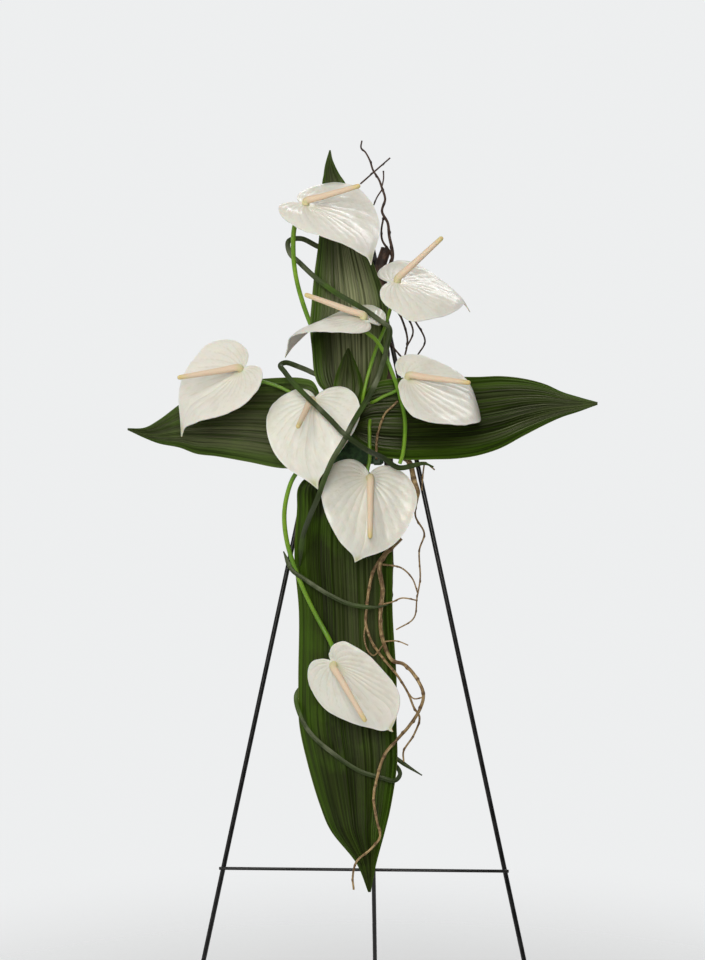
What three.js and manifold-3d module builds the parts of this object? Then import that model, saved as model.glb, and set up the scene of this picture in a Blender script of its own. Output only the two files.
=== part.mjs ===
import * as THREE from 'three';
import { mergeVertices } from 'three/addons/utils/BufferGeometryUtils.js';
import Module from 'manifold-3d';

// Standing funeral cross: leaves, blooms, grass and curly willow on a folding wire easel.
// Units are mm. The finished group stands on z = 0, faces -y and has x to the right.
// The easel's front frame and all it carries are built flat in the frame's own plane and
// leaned back together: x to the right, y up the plane, z out towards the viewer.
// Places in the arrangement are measured from the crossing of the cross.

// Easel
const LEAN = THREE.MathUtils.degToRad(6);
const APEX_HEIGHT = 1371;
const FOOT_HALF_SPREAD = 295;
const LEG_RADIUS = 3;
const CROSSBAR_HEIGHT = 540;
const CROSSBAR_RADIUS = 2;
const CROSSBAR_OVERHANG = 5;
const HINGE_HEIGHT = 1277;
const BACK_LEG_OPENING = THREE.MathUtils.degToRad(20);
const CAP_RADIUS = 6;
const CAP_HEIGHT = 24;
const CAP_FLOOR = 5;
const HOOK_RADIUS = 2;
const HOOK_REACH = 14.6;
const PLATE_BELOW_APEX = 60;
const PLATE_TOP_BELOW_APEX = 12;
const PLATE_THICKNESS = 2;
const PLATE_OVERHANG = 5;
const GAP = 0.3;
const DEPTH_CENTRE = 206;

// Armature behind the leaves
const CROSSING_HEIGHT = 1109;
const CROSS_OFFSET = -1.5;
const LATH_WIDTH = 18;
const LATH_THICKNESS = 6;
const LATH_BACK = 4;
const CROSS_LATH_LENGTH = 400;
const UPRIGHT_TOP = 145;
const UPRIGHT_BOTTOM = -330;
const FOAM = { left: -45, right: 28, bottom: -55, top: 35, back: 16.6, front: 50 };
const TAPE_LEFT = 16.5;
const TAPE_WIDTH = 8;
const TAPE_THICKNESS = 0.8;

// Plants
const LEAF_THICKNESS = 0.9;
const LEAF_STEPS = 20;
const LEAF_FOLDS = 8;
const PLEAT_DEPTH = 0.9;
const PLEAT_FULL_WIDTH = 60;
const SPATHE_THICKNESS = 1.2;
const VEIN_HEIGHT = 0.008;
const VEINS = 9;
const LOBE_FROM = 95;
const LOBE_BLEND = 30;
const CURL_FROM = 0.55;
const CURL_TO = 0.88;
const STRAND_THICKNESS = 1;
const STRAND_GROOVE = 0.5;
const STEM_RADIUS = 2.3;
const STALK_RADIUS = 2;
const SPADIX_RADIUS = 4.6;
const HOLE_CLEARANCE = 0.35;

const black = { color: 0x101112, roughness: 0.35, metalness: 0.6 };
const rubber = { color: 0x161616, roughness: 0.8, metalness: 0 };
const wood = { color: 0xa88a5c, roughness: 0.8, metalness: 0 };
const foamGreen = { color: 0x2e4a2a, roughness: 1, metalness: 0 };
const tapeGreen = { color: 0x24401f, roughness: 0.6, metalness: 0 };
const leafGreen = { color: 0x23381a, roughness: 0.4, metalness: 0 };
const strandGreen = { color: 0x32462a, roughness: 0.5, metalness: 0 };
const stemGreen = { color: 0x557f22, roughness: 0.5, metalness: 0 };
const white = { color: 0xe6e3d8, roughness: 0.45, metalness: 0 };
const peach = { color: 0xdcb890, roughness: 0.6, metalness: 0 };
const darkBark = { color: 0x3f2c20, roughness: 0.85, metalness: 0 };
const tanBark = { color: 0x8d6b46, roughness: 0.85, metalness: 0 };

const wasm = await Module();
wasm.setup();

const at = (x, y, z) => new THREE.Vector3(x, y, z);
const vectors = (points) => points.map((p) => at(...p));
const smooth = (points) => new THREE.CatmullRomCurve3(vectors(points), false, 'centripetal');

function solid(geometry) {
  const bare = geometry.clone();
  bare.deleteAttribute('normal');
  bare.deleteAttribute('uv');
  const merged = mergeVertices(bare, 1e-4);
  const mesh = new wasm.Mesh({
    numProp: 3,
    vertProperties: new Float32Array(merged.attributes.position.array),
    triVerts: new Uint32Array(merged.index.array),
  });
  return new wasm.Manifold(mesh);
}

function fromSolid(manifold) {
  const mesh = manifold.getMesh();
  const geometry = new THREE.BufferGeometry();
  geometry.setAttribute('position', new THREE.BufferAttribute(mesh.vertProperties, 3));
  geometry.setIndex(new THREE.BufferAttribute(mesh.triVerts, 1));
  return geometry;
}

const fuse = (pieces) => fromSolid(pieces.map(solid).reduce((all, piece) => all.add(piece)));
const cut = (piece, tools) =>
  fromSolid(tools.map(solid).reduce((rest, tool) => rest.subtract(tool), solid(piece)));

function geometryFrom(points, faces) {
  const geometry = new THREE.BufferGeometry();
  const positions = points.flatMap((p) => [p.x, p.y, p.z]);
  geometry.setAttribute('position', new THREE.Float32BufferAttribute(positions, 3));
  geometry.setIndex(faces.flat());
  return geometry;
}

// A thin sheet: the grid's points are its middle surface, and both faces get the same triangles.
// With a centre point the rows are rings round it, otherwise they run from edge to edge.
function sheet(rows, thickness, centre = null) {
  const count = rows[0].length;
  const step = (i, j) => {
    const row = rows[Math.min(Math.max(i, 0), rows.length - 1)];
    return centre ? row[(j + count) % count] : row[Math.min(Math.max(j, 0), count - 1)];
  };
  const front = [];
  const back = [];
  const push = (point, normal) => {
    const half = normal.clone().setLength(thickness / 2);
    front.push(point.clone().add(half));
    back.push(point.clone().sub(half));
  };
  rows.forEach((row, i) => row.forEach((point, j) => {
    const before = i === 0 && centre ? centre : step(i - 1, j);
    const along = step(i + 1, j).clone().sub(before);
    const across = step(i, j + 1).clone().sub(step(i, j - 1));
    push(point, across.cross(along));
  }));
  const faces = [];
  const grid = rows.length * count;
  if (centre) {
    const spokes = rows[0].map((point, j) => step(0, j + 1).clone().sub(centre)
      .cross(point.clone().sub(centre)));
    push(centre, spokes.reduce((sum, spoke) => sum.add(spoke)));
  }
  const shift = front.length;
  const pair = (a, b, c) => {
    faces.push([a, b, c]);
    faces.push([a + shift, c + shift, b + shift]);
  };
  const last = centre ? count : count - 1;
  for (let i = 0; i < rows.length - 1; i += 1) {
    for (let j = 0; j < last; j += 1) {
      const k = (j + 1) % count;
      const a = i * count;
      const b = a + count;
      pair(a + j, a + k, b + k);
      pair(a + j, b + k, b + j);
    }
  }
  const rim = (a, b) => {
    faces.push([a, b + shift, b]);
    faces.push([a, a + shift, b + shift]);
  };
  const end = (rows.length - 1) * count;
  for (let j = 0; j < last; j += 1) {
    const k = (j + 1) % count;
    rim(end + k, end + j);
    if (centre) pair(grid, k, j);
    else rim(j, k);
  }
  if (!centre) {
    for (let i = 0; i < rows.length - 1; i += 1) {
      rim((i + 1) * count, i * count);
      rim(i * count + count - 1, (i + 1) * count + count - 1);
    }
  }
  return geometryFrom([...front, ...back], faces);
}

// A round rod along a smooth line whose radius changes from its start to its end.
function taper(points, startRadius, endRadius, sides, steps, endScale = 1) {
  const curve = smooth(points);
  const frames = curve.computeFrenetFrames(steps, false);
  const ring = [];
  const faces = [];
  for (let i = 0; i <= steps; i += 1) {
    const t = i / steps;
    const tip = i === steps ? endScale : 1;
    const radius = THREE.MathUtils.lerp(startRadius, endRadius, t) * tip;
    const middle = curve.getPointAt(t);
    for (let j = 0; j < sides; j += 1) {
      const angle = (2 * Math.PI * j) / sides;
      const offset = frames.normals[i].clone().multiplyScalar(Math.cos(angle) * radius)
        .addScaledVector(frames.binormals[i], Math.sin(angle) * radius);
      ring.push(middle.clone().add(offset));
      const k = (j + 1) % sides;
      if (i < steps) {
        const a = i * sides;
        const b = a + sides;
        faces.push([a + j, a + k, b + k]);
        faces.push([a + j, b + k, b + j]);
      }
    }
  }
  for (let j = 1; j < sides - 1; j += 1) {
    const end = steps * sides;
    faces.push([0, j + 1, j]);
    faces.push([end, end + j, end + j + 1]);
  }
  return geometryFrom(ring, faces);
}

// A wire or stem of one thickness along a smooth line.
function tube(points, radius, sides, steps) {
  const section = new THREE.Shape();
  section.absarc(0, 0, radius, 0, 2 * Math.PI, false);
  const path = points.length === 2
    ? new THREE.LineCurve3(...vectors(points))
    : smooth(points);
  return new THREE.ExtrudeGeometry(section, {
    extrudePath: path, steps, curveSegments: sides / 2, bevelEnabled: false,
  });
}

// The end of a stem is drawn back a little from the bottom of its hole.
function drawBack(stem, [inner, end], radius) {
  const bottom = at(...end);
  const step = at(...inner).sub(bottom).setLength(2 * GAP);
  const corners = stem.attributes.position;
  for (let i = 0; i < corners.count; i += 1) {
    const corner = at(0, 0, 0).fromBufferAttribute(corners, i);
    if (corner.distanceTo(bottom) < radius + 0.1) {
      corners.setXYZ(i, ...corner.add(step).toArray());
    }
  }
  return stem;
}

function box(low, high) {
  const size = high.map((value, i) => value - low[i]);
  const geometry = new THREE.BoxGeometry(...size);
  return geometry.translate(...low.map((value, i) => value + size[i] / 2));
}

// A pleated leaf blade between two edge lines, on a round stalk. Its middle is arched forward
// by keel percent of its width.
function leaf({ upright, rows, keel, stalk }) {
  const edge = (side) => smooth(rows.map((row) => {
    const along = row[0];
    const across = row[1 + side];
    const out = row[3 + side] ?? row[3];
    return upright ? [across, along, out] : [along, across, out];
  }));
  const [low, high] = [edge(0), edge(1)];
  const grid = [];
  for (let i = 0; i <= LEAF_STEPS; i += 1) {
    const a = low.getPoint(i / LEAF_STEPS);
    const b = high.getPoint(i / LEAF_STEPS);
    const width = a.distanceTo(b);
    const row = [];
    const pleatDepth = PLEAT_DEPTH * Math.min(1, width / PLEAT_FULL_WIDTH);
    for (let j = 0; j <= LEAF_FOLDS; j += 1) {
      const s = (2 * j) / LEAF_FOLDS - 1;
      const pleat = j % 2 ? pleatDepth : -pleatDepth;
      const arch = (keel * (1 - s * s) * width) / 100;
      const point = a.clone().lerp(b, j / LEAF_FOLDS);
      point.z += pleat + arch;
      row.push(point);
    }
    grid.push(upright ? row : row.reverse());
  }
  const flip = rows[0][0] < rows[rows.length - 1][0];
  const blade = sheet(flip ? grid.reverse() : grid, LEAF_THICKNESS);
  const held = drawBack(tube(stalk, STALK_RADIUS, 6, 5), stalk.slice(-2), STALK_RADIUS);
  return fuse([blade, held]);
}

// A flat grooved grass strand that keeps its face to the viewer while it winds.
function strand(points, width, steps) {
  const curve = smooth(points);
  const rows = [];
  for (let i = 0; i <= steps; i += 1) {
    const t = i / steps;
    const middle = curve.getPointAt(t);
    const along = curve.getTangentAt(t);
    const across = at(0, 0, 1).cross(along).normalize();
    const narrow = Math.min(1, 0.35 + 5 * Math.min(t, 1 - t));
    const half = (width / 2) * narrow;
    const groove = along.clone().cross(across).setLength(STRAND_GROOVE);
    rows.push([
      middle.clone().addScaledVector(across, half),
      middle.clone().add(groove),
      middle.clone().addScaledVector(across, -half),
    ]);
  }
  return sheet(rows, STRAND_THICKNESS);
}

// Heart outline of a spathe: its reach from the spadix's foot, in spathe widths, by angle from the tip.
const HEART = [
  [0, 0.865], [15, 0.76], [35, 0.655], [55, 0.58], [75, 0.53], [95, 0.44],
  [115, 0.34], [135, 0.235], [152, 0.13], [170, 0.045], [180, 0.03],
];
const HEART_ANGLES = [0, 8, 20, 35, 50, 65, 80, 95, 110, 125, 140, 155, 168, 180];

function reach(angle) {
  const k = Math.max(1, HEART.findIndex((entry) => entry[0] >= angle));
  const [a, ra] = HEART[k - 1];
  const [b, rb] = HEART[k];
  return THREE.MathUtils.mapLinear(angle, a, b, ra, rb);
}

// Axes of a bloom: across the spathe, up away from its tip, and out of its face.
function bloomAxes({ face, tip }) {
  const out = at(...face).normalize();
  const up = at(...tip).negate();
  up.addScaledVector(out, -up.dot(out)).normalize();
  const across = up.clone().cross(out);
  return { across, up, out };
}

function spathe(bloom) {
  const { across, up, out } = bloomAxes(bloom);
  const foot = at(...bloom.foot);
  const curl = at(...bloom.curl);
  const place = (angle, share) => {
    const turn = THREE.MathUtils.degToRad(angle);
    const half = angle < 0 ? 0 : 1;
    const behind = THREE.MathUtils.clamp((Math.abs(angle) - LOBE_FROM) / LOBE_BLEND, 0, 1);
    const size = reach(Math.abs(angle)) * share * THREE.MathUtils.lerp(1, bloom.lobe[half], behind);
    const u = size * Math.sin(turn) * bloom.sides[half];
    const v = -size * Math.cos(turn) * bloom.length;
    const flat = Math.min(1, (u * u + v * v) / 0.01);
    const lift = flat * (bloom.cup[half] * u * u + bloom.bend * v * v);
    const sway = v < 0 ? bloom.skew * v * v : 0;
    const curled = THREE.MathUtils.clamp((-v - CURL_FROM) / (CURL_TO - CURL_FROM), 0, 1) ** 2;
    const vein = VEIN_HEIGHT * flat * Math.cos(turn * VEINS) * share;
    return foot.clone()
      .addScaledVector(across, (u + sway) * bloom.width)
      .addScaledVector(up, v * bloom.width)
      .addScaledVector(out, (lift + vein) * bloom.width)
      .addScaledVector(curl, curled);
  };
  const left = HEART_ANGLES.slice(1, -1).reverse().map((angle) => -angle);
  const angles = [...left, ...HEART_ANGLES];
  const rings = [0.2, 0.45, 0.75, 1].map((share) => angles.map((angle) => place(angle, share)));
  return sheet(rings, SPATHE_THICKNESS, foot);
}

// The spadix stands on the spathe's face and leans over towards where it points.
function spadix(bloom) {
  const { out } = bloomAxes(bloom);
  const root = at(...bloom.foot).addScaledVector(out, SPATHE_THICKNESS / 2 + GAP);
  const knee = root.clone().addScaledVector(out, 4);
  const direction = at(...bloom.spadix);
  const length = direction.length();
  const points = [root, knee];
  [0.25, 0.6, 0.97, 1].forEach((share) => {
    points.push(knee.clone().addScaledVector(direction, share));
  });
  const slim = length > 40 ? 0.62 : 0.75;
  const line = points.map((p) => p.toArray());
  return taper(line, SPADIX_RADIUS, SPADIX_RADIUS * slim, 8, 9, 0.45);
}

// The stem leaves the back of the spathe and runs to its end through the given places.
function stemLine(bloom) {
  const { out } = bloomAxes(bloom);
  const start = at(...bloom.foot).addScaledVector(out, -SPATHE_THICKNESS / 2 - GAP);
  const behind = start.clone().addScaledVector(out, -6);
  return [start.toArray(), behind.toArray(), ...bloom.stem];
}

const stemRadius = (bloom) => bloom.girth ?? STEM_RADIUS;
const stemSteps = (bloom) => 2 * bloom.stem.length + 2;
const twigSteps = (line) => 2 * line.length - 2;

// A bloom stands on its foot, and tip and face say which way it points and looks. cup, lobe and sides
// hold the depth, the lobe and the breadth of its left and its right half. bend bows it lengthwise,
// skew sweeps its tip sideways and curl moves the tip by that much. The stem's places run from the
// bloom to the foam, and girth is its radius where that isn't the usual one.
const blooms = [
  {
    name: 'bloom_1', foot: [-65, 262, 98], tip: [0.91, -0.33, 0.26], face: [0.2, 0.89, 0.42],
    width: 139, length: 1.01, cup: [-0.41, 0.26], bend: -0.18, skew: -0.32,
    lobe: [0.99, 0.96], sides: [0.75, 1.19], curl: [-12, -11, 0], spadix: [67, 16, 20], girth: 3.1,
    stem: [[-80, 240, 72], [-83, 205, 58], [-79, 170, 45], [-64, 121, 27], [-46, 85, 24],
      [-32, 55, 29], [-28, 36, 31], [-26, 16, 32]],
  },
  {
    name: 'bloom_2', foot: [47, 167, 97], tip: [0.98, -0.06, -0.17], face: [0.12, 0.93, 0.35],
    width: 112, length: 0.98, cup: [-0.9, 0.35], bend: -0.28, skew: 0.06,
    lobe: [1.22, 1.13], sides: [1.02, 1.04], curl: [-5, -2, 0], spadix: [55, 49, 12],
    stem: [[40, 150, 65], [36, 134, 50], [29, 112, 51], [20, 89, 58], [10, 55, 67], [4, 28, 67],
      [2, 16, 56], [2, 13, 34]],
  },
  {
    name: 'bloom_3', foot: [6, 121, 110], tip: [-0.84, 0.4, -0.3], face: [0.24, 0.92, 0.3],
    width: 119, length: 0.98, cup: [0.29, -0.44], bend: -0.81, skew: 0.03,
    lobe: [0.85, 1.0], sides: [0.92, 0.88], curl: [9, -15, 0], spadix: [-72, 26, 4], girth: 2.7,
    stem: [[10, 106, 104], [20, 98, 97], [31, 81, 90], [38, 64, 89.3], [46, 42, 85.6], [54, 11, 76],
      [56, -7, 70], [53, -42, 62.5], [49, -54, 60]],
  },
  {
    name: 'bloom_4', foot: [-145, 61, 88], tip: [-0.77, -0.63, -0.04], face: [-0.52, 0.6, 0.61],
    width: 120, length: 1, cup: [0.47, -0.21], bend: 0.15, skew: -0.02,
    lobe: [0.95, 1.02], sides: [1.13, 0.91], curl: [16, -28, -1], spadix: [-74, -13, 14],
    stem: [[-138, 51, 70], [-122, 48, 62], [-96, 39, 59.5], [-70, 24, 63.5], [-50, 9, 69],
      [-38, 5, 64], [-34, 6, 52], [-33, 7, 34]],
  },
  {
    name: 'bloom_5', foot: [60, 50, 97], tip: [0.95, -0.11, -0.31], face: [0.28, 0.75, 0.6],
    width: 133, length: 1.01, cup: [0.05, 0.69], bend: -0.18, skew: -0.09,
    lobe: [0.63, 0.56], sides: [1.21, 0.6], curl: [-19, -20, 0], spadix: [75, -10, 16],
    stem: [[50, 39, 80], [42, 34, 75], [30, 29, 73], [19, 23, 70], [13, 21, 58], [13, 21, 34]],
  },
  {
    name: 'bloom_6', foot: [-56, 22, 92], tip: [-0.19, -0.86, 0.48], face: [-0.51, 0.5, 0.7],
    width: 120, length: 1.01, cup: [0.37, -0.34], bend: -0.25, skew: 0,
    lobe: [1.04, 0.98], sides: [0.96, 1.08], curl: [16, -5, 0], spadix: [-12, -35, 58],
    stem: [[-58, 12, 78], [-50, 17, 75], [-40, 22, 68], [-33, 23, 54], [-32, 22, 34]],
  },
  {
    name: 'bloom_7', foot: [12, -72, 82], tip: [-0.06, -0.94, 0.33], face: [0.4, 0.28, 0.87],
    width: 125, length: 0.99, cup: [-0.16, 0.31], bend: -0.15, skew: 0.07,
    lobe: [0.97, 0.95], sides: [0.93, 0.96], curl: [-12, 4, 0], spadix: [1, -74, 34],
    stem: [[9, -66, 72], [12, -50, 70], [12, -25, 69], [12, -6, 68], [13, 3, 58], [13, 4, 34]],
  },
  {
    name: 'bloom_8', foot: [-30, -300, 88], tip: [0.8, -0.59, 0.12], face: [-0.41, -0.39, 0.83],
    width: 138, length: 1.05, cup: [0.27, -0.06], bend: 0.04, skew: 0.01,
    lobe: [1.04, 0.52], sides: [0.87, 0.58], curl: [-27, -6, 1], spadix: [42, -64, 36], girth: 3,
    stem: [[-30, -292, 72], [-34, -284, 56], [-39, -275, 42], [-46, -263, 36], [-54, -249, 35],
      [-71, -214, 38], [-86, -175, 42], [-93, -147, 46], [-95, -119, 52], [-91, -94, 60],
      [-82, -71, 69], [-65, -52, 74], [-45, -38, 72], [-33, -31, 60], [-30, -30, 34]],
  },
];

// Leaf rows run from the tip to the base: place along the leaf, its two edges, and how far out.
const leaves = [
  {
    name: 'leaf_top', upright: true, keel: 5,
    rows: [[337, -39.5, -38, 38], [326, -43, -35.7, 37], [317, -45.4, -32, 35.5],
      [307, -47, -26.7, 34], [296, -49, -19.5, 32.5], [229, -53, 2, 31], [181, -59, 21, 33],
      [149, -62, 31, 33], [116, -64, 34, 36], [87, -61, 34, 41], [55, -57, 33, 48],
      [40, -49, 27, 52], [31, -32, 13, 53.3], [27, -9, -1, 53.5]],
    stalk: [[-5, 33, 53.6], [-5, 28, 52], [-5, 25, 46], [-5, 24, 34]],
  },
  {
    name: 'leaf_left', upright: false, keel: 5,
    rows: [[-293, -12, -10, 42], [-272, -22, -9, 39], [-254, -29, 1, 36], [-229, -34, 20, 33],
      [-207, -42, 35, 32], [-182, -45, 42, 32], [-142, -52, 50, 36], [-97, -60, 53, 49],
      [-72, -58, 52, 56], [-58, -50, 47, 59.5], [-47, -34, 20, 61.5], [-42, -17, -9, 62]],
    stalk: [[-46, -13, 62.4], [-41, -13, 61], [-38, -13, 54], [-37, -13, 34]],
  },
  {
    name: 'leaf_right', upright: false, keel: 5,
    rows: [[294, 19, 22, 40], [270, 10, 29, 38], [251, 4, 35, 36], [229, -6, 45, 34],
      [202, -20, 52, 33], [174, -35, 55, 34], [146, -44, 54, 37], [119, -48, 54, 42],
      [91, -49, 54, 49], [49, -49, 52, 58], [15, -42, 44, 61], [-5, -24, 14, 62],
      [-12, -12, -4, 62]],
    stalk: [[-9, -8, 62.4], [-13, -8, 61], [-16, -8, 54], [-17, -8, 34]],
  },
  {
    name: 'leaf_bottom', upright: true, keel: 5,
    rows: [[-591, 9, 12, 36], [-556, -6, 19, 33], [-515, -39, 30, 30], [-485, -52, 37, 27],
      [-429, -69, 45, 24], [-382, -79, 44, 22], [-326, -80, 44, 22], [-240, -79, 39, 25],
      [-169, -84, 39, 33], [-111, -80, 37, 42], [-84, -78, 36, 46], [-71, -66, 32, 46],
      [-64, -6, 2, 45]],
    stalk: [[-2, -68, 45.5], [-2, -64, 44], [-2, -58, 38], [-2, -40, 32]],
  },
  {
    name: 'leaf_centre', upright: true, keel: 8,
    rows: [[89, -16, -14, 55], [70, -25, -5, 58], [52, -31, 2, 63], [37, -33, 4, 67],
      [20, -30, -3, 68], [10, -24, -15, 68]],
    stalk: [[-20, 14, 69.2], [-20, 9, 67], [-21, 7, 60], [-21, 7, 34]],
  },
];

const strands = [
  {
    name: 'strand_1', width: 6,
    points: [[-40, 212, 23], [-56, 219, 23], [-76, 228, 28], [-91, 224, 34], [-89, 209, 38],
      [-76, 196, 42], [-57, 178, 47], [-31, 158, 62], [-6, 142, 92], [14, 129, 106],
      [26, 120, 109], [38, 110, 109], [34, 85, 103], [26, 57, 99], [16, 34, 103], [6, 15, 123],
      [-5, -5, 139], [-16, -27, 143], [-29, -49, 144], [-39, -72, 142], [-47, -94, 136],
      [-61, -122, 100], [-72, -149, 60], [-77, -182, 34]],
  },
  {
    name: 'strand_2', width: 6,
    points: [[-50, 52, 42.4], [-62, 60, 45.2], [-76, 66, 53], [-92, 71, 63], [-98, 67, 73],
      [-92, 59, 83], [-82, 47, 96], [-66, 31, 111], [-50, 16, 122], [-32, -1, 137],
      [-15, -18, 151], [11, -37, 131], [30, -47, 98], [49, -59, 84], [79, -54, 72],
      [91, -58, 68]],
  },
  {
    name: 'strand_3', width: 5,
    points: [[-97, -164, 40.6], [-86, -187, 44.1], [-72, -197, 46], [-42, -216, 48],
      [-14, -229, 49], [15, -233, 49], [34, -230, 47]],
  },
  {
    name: 'strand_4', width: 5,
    points: [[-75, -331, 18.6], [-83, -348, 19.4], [-76, -372, 32], [-61, -395, 36],
      [-35, -417, 37], [-1, -439, 38], [26, -447, 38], [42, -451, 35], [48.5, -444, 26],
      [43, -435, 17], [33, -430, 12], [28, -423, 10], [32, -417, 9.5], [40, -424, 10],
      [54, -434, 11], [76, -447.5, 13]],
  },
];

// Willow twigs: the line, the radius at its root and the radius at its tip.
const willows = [
  {
    name: 'willow_main', bark: darkBark, sides: 5,
    twigs: [
      [[[31, 215, 24], [25, 196, 26], [25, 176, 26], [27, 150, 25], [28.5, 100, 25], [30, 66, 25],
        [34.2, 40, 26], [34.2, -55, 26], [33, -110, 22], [35, -170, 16], [34, -230, 13],
        [33, -290, 12]], 7, 4.2],
      [[[27, 182, 26], [39, 203, 30], [35, 231, 33], [33, 247, 31], [26, 261, 33], [30, 276, 36],
        [26, 290, 34], [22, 301, 32], [15, 312, 34], [11, 324, 36], [5, 335, 34], [0, 340, 35],
        [1, 349, 36]], 2.3, 1],
      [[[27, 184, 26], [38, 204, 27], [26, 226, 24], [25, 238, 26], [28, 254, 30]], 1.8, 1.2],
      [[[-1, 295, 36], [16, 310, 34], [36, 328, 30]], 1.1, 1],
      [[[26, 292, 34], [28, 301, 36], [28, 311, 38]], 1, 0.9],
      [[[26, 288, 34], [20, 278, 38], [16, 268, 40]], 1, 0.9],
      [[[27, 160, 25], [43, 140, 34], [51, 126, 38], [58, 100, 40], [54, 76, 42]], 1.8, 1.1],
      [[[27, 164, 25], [54, 140, 34], [61, 124, 40], [65, 109, 42], [56, 89, 40]], 1.6, 1],
      [[[27, 168, 25], [58, 140, 32], [68, 123, 40], [80, 98, 44], [71, 81, 44]], 1.6, 1],
      [[[28.5, 112, 25], [38, 94, 30], [46, 84, 36], [54, 75, 41]], 1.6, 1],
    ],
  },
  {
    name: 'willow_lower', bark: tanBark, sides: 5,
    twigs: [
      [[[14, -34, 30], [30, -38, 39], [46, -44, 40], [60, -52, 32], [66, -75, 30], [70, -90, 34],
        [61, -118, 38], [46, -144, 40], [24, -176, 40]], 3.6, 3.2],
      [[[50, -147, 40], [20, -180, 39], [12, -200, 37], [7, -235, 36], [6, -254, 37],
        [12, -274, 36], [25, -295, 33], [44, -318, 31], [58, -340, 33], [66, -359, 34],
        [73, -372, 32], [66, -394, 30], [53, -415, 29], [53, -428, 27]], 2.2, 1.2],
      [[[50, -147, 40], [24, -178, 41], [27, -212, 40], [24, -251, 40], [29, -281, 34],
        [39, -301, 32], [53, -305, 34], [68, -320, 38], [78, -342, 40], [74, -360, 40],
        [60, -382, 41], [45, -399, 42], [30, -417, 43], [21, -444, 44], [16, -471, 42],
        [20, -500, 42], [24, -520, 43], [14, -534, 44], [-5, -551, 45], [-10, -570, 44],
        [-9, -587, 41]], 3, 1.3],
      [[[72, -92, 34], [68, -119, 40], [79, -141, 42], [73, -162, 42], [74, -197, 42],
        [70, -222, 40], [66, -247, 38], [44, -262, 34]], 1.3, 0.9],
      [[[27, -180, 41], [50, -184, 42], [64, -197, 43], [71, -216, 41]], 1.2, 0.9],
      [[[26, -230, 40], [39, -227, 40], [51, -222, 40], [71, -225, 40]], 1.1, 0.9],
      [[[28, -277, 35], [45, -276, 36], [59, -281, 38]], 1, 0.8],
      [[[58, -340, 34], [66, -348, 36], [77, -346, 40]], 1, 0.9],
      [[[6, -254, 37], [4, -272, 40], [9, -288, 41], [16, -294, 38], [27, -282, 34]], 1.1, 0.9],
      [[[62, -56, 31], [79, -53, 31], [92, -62, 30]], 1.4, 1],
      [[[79, -53, 31], [77, -70, 30], [76, -88, 31]], 1.1, 0.9],
    ],
  },
  {
    name: 'willow_twig', bark: tanBark, sides: 6,
    twigs: [
      [[[20, -48, 34], [20, -46, 56], [20, -40, 66], [22, -19, 70], [31, 7, 72], [40, 16, 73],
        [47, 23, 73]], 1.7, 1.3],
    ],
  },
];

const root = new THREE.Group();
root.name = 'standing_funeral_cross';
const frame = new THREE.Group();
frame.rotation.x = Math.PI / 2 - LEAN;
frame.position.y = -DEPTH_CENTRE;
const cross = new THREE.Group();
cross.position.set(CROSS_OFFSET, CROSSING_HEIGHT, 0);
frame.add(cross);
root.add(frame);

function piece(parent, name, geometry, finish) {
  const flat = geometry.index ? geometry.toNonIndexed() : geometry;
  flat.computeVertexNormals();
  const mesh = new THREE.Mesh(flat, new THREE.MeshStandardMaterial(finish));
  mesh.name = name;
  parent.add(mesh);
  return mesh;
}

// Everything below the floor is cut away, so that a tilted cap stands on a flat face.
function trimToFloor(geometry, parent) {
  parent.updateWorldMatrix(true, false);
  const under = box([-600, -900, -80], [600, 900, 0]);
  under.applyMatrix4(parent.matrixWorld.clone().invert());
  return cut(geometry, [under]);
}

// A foot cap is a cup round the end of the leg, which runs down from top to foot.
function footCap(top, foot) {
  const profile = [
    [0, -12], [CAP_RADIUS, -12], [CAP_RADIUS, CAP_HEIGHT - 2], [CAP_RADIUS - 1, CAP_HEIGHT],
    [LEG_RADIUS + GAP, CAP_HEIGHT], [LEG_RADIUS + GAP, CAP_FLOOR], [0, CAP_FLOOR],
  ];
  const points = profile.map(([x, y]) => new THREE.Vector2(x, y));
  const cap = new THREE.LatheGeometry(points, 16);
  const direction = top.clone().sub(foot).normalize();
  const turn = new THREE.Quaternion().setFromUnitVectors(at(0, 1, 0), direction);
  cap.applyQuaternion(turn);
  return cap.translate(foot.x, foot.y, foot.z);
}

// Easel: two front legs that meet at the top, held by a small plate, with a hook each
const apex = at(0, APEX_HEIGHT, 0);
const slope = FOOT_HALF_SPREAD / APEX_HEIGHT;
const legX = (height) => (APEX_HEIGHT - height) * slope;
const legTopDrop = (LEG_RADIUS + GAP) / slope;
[['left', -1], ['right', 1]].forEach(([side, sign]) => {
  const foot = at(sign * FOOT_HALF_SPREAD, 0, 0);
  const direction = apex.clone().sub(foot).normalize();
  const start = foot.clone().addScaledVector(direction, CAP_FLOOR + GAP);
  const end = apex.clone().addScaledVector(direction, -legTopDrop);
  piece(frame, `front_leg_${side}`, tube([start.toArray(), end.toArray()], LEG_RADIUS, 10, 1), black);
  piece(frame, `foot_cap_${side}`, trimToFloor(footCap(apex, foot), frame), rubber);
  const hookX = sign * legX(CROSSING_HEIGHT);
  const lathBottom = CROSSING_HEIGHT - LATH_WIDTH / 2 - GAP - HOOK_RADIUS;
  const hook = [
    [hookX, lathBottom, LEG_RADIUS + GAP], [hookX, lathBottom, 9], [hookX, lathBottom + 0.8, 13],
    [hookX, lathBottom + 5, HOOK_REACH], [hookX, lathBottom + 14, HOOK_REACH],
  ];
  piece(frame, `hook_${side}`, tube(hook, HOOK_RADIUS, 8, 8), black);
});

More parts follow.
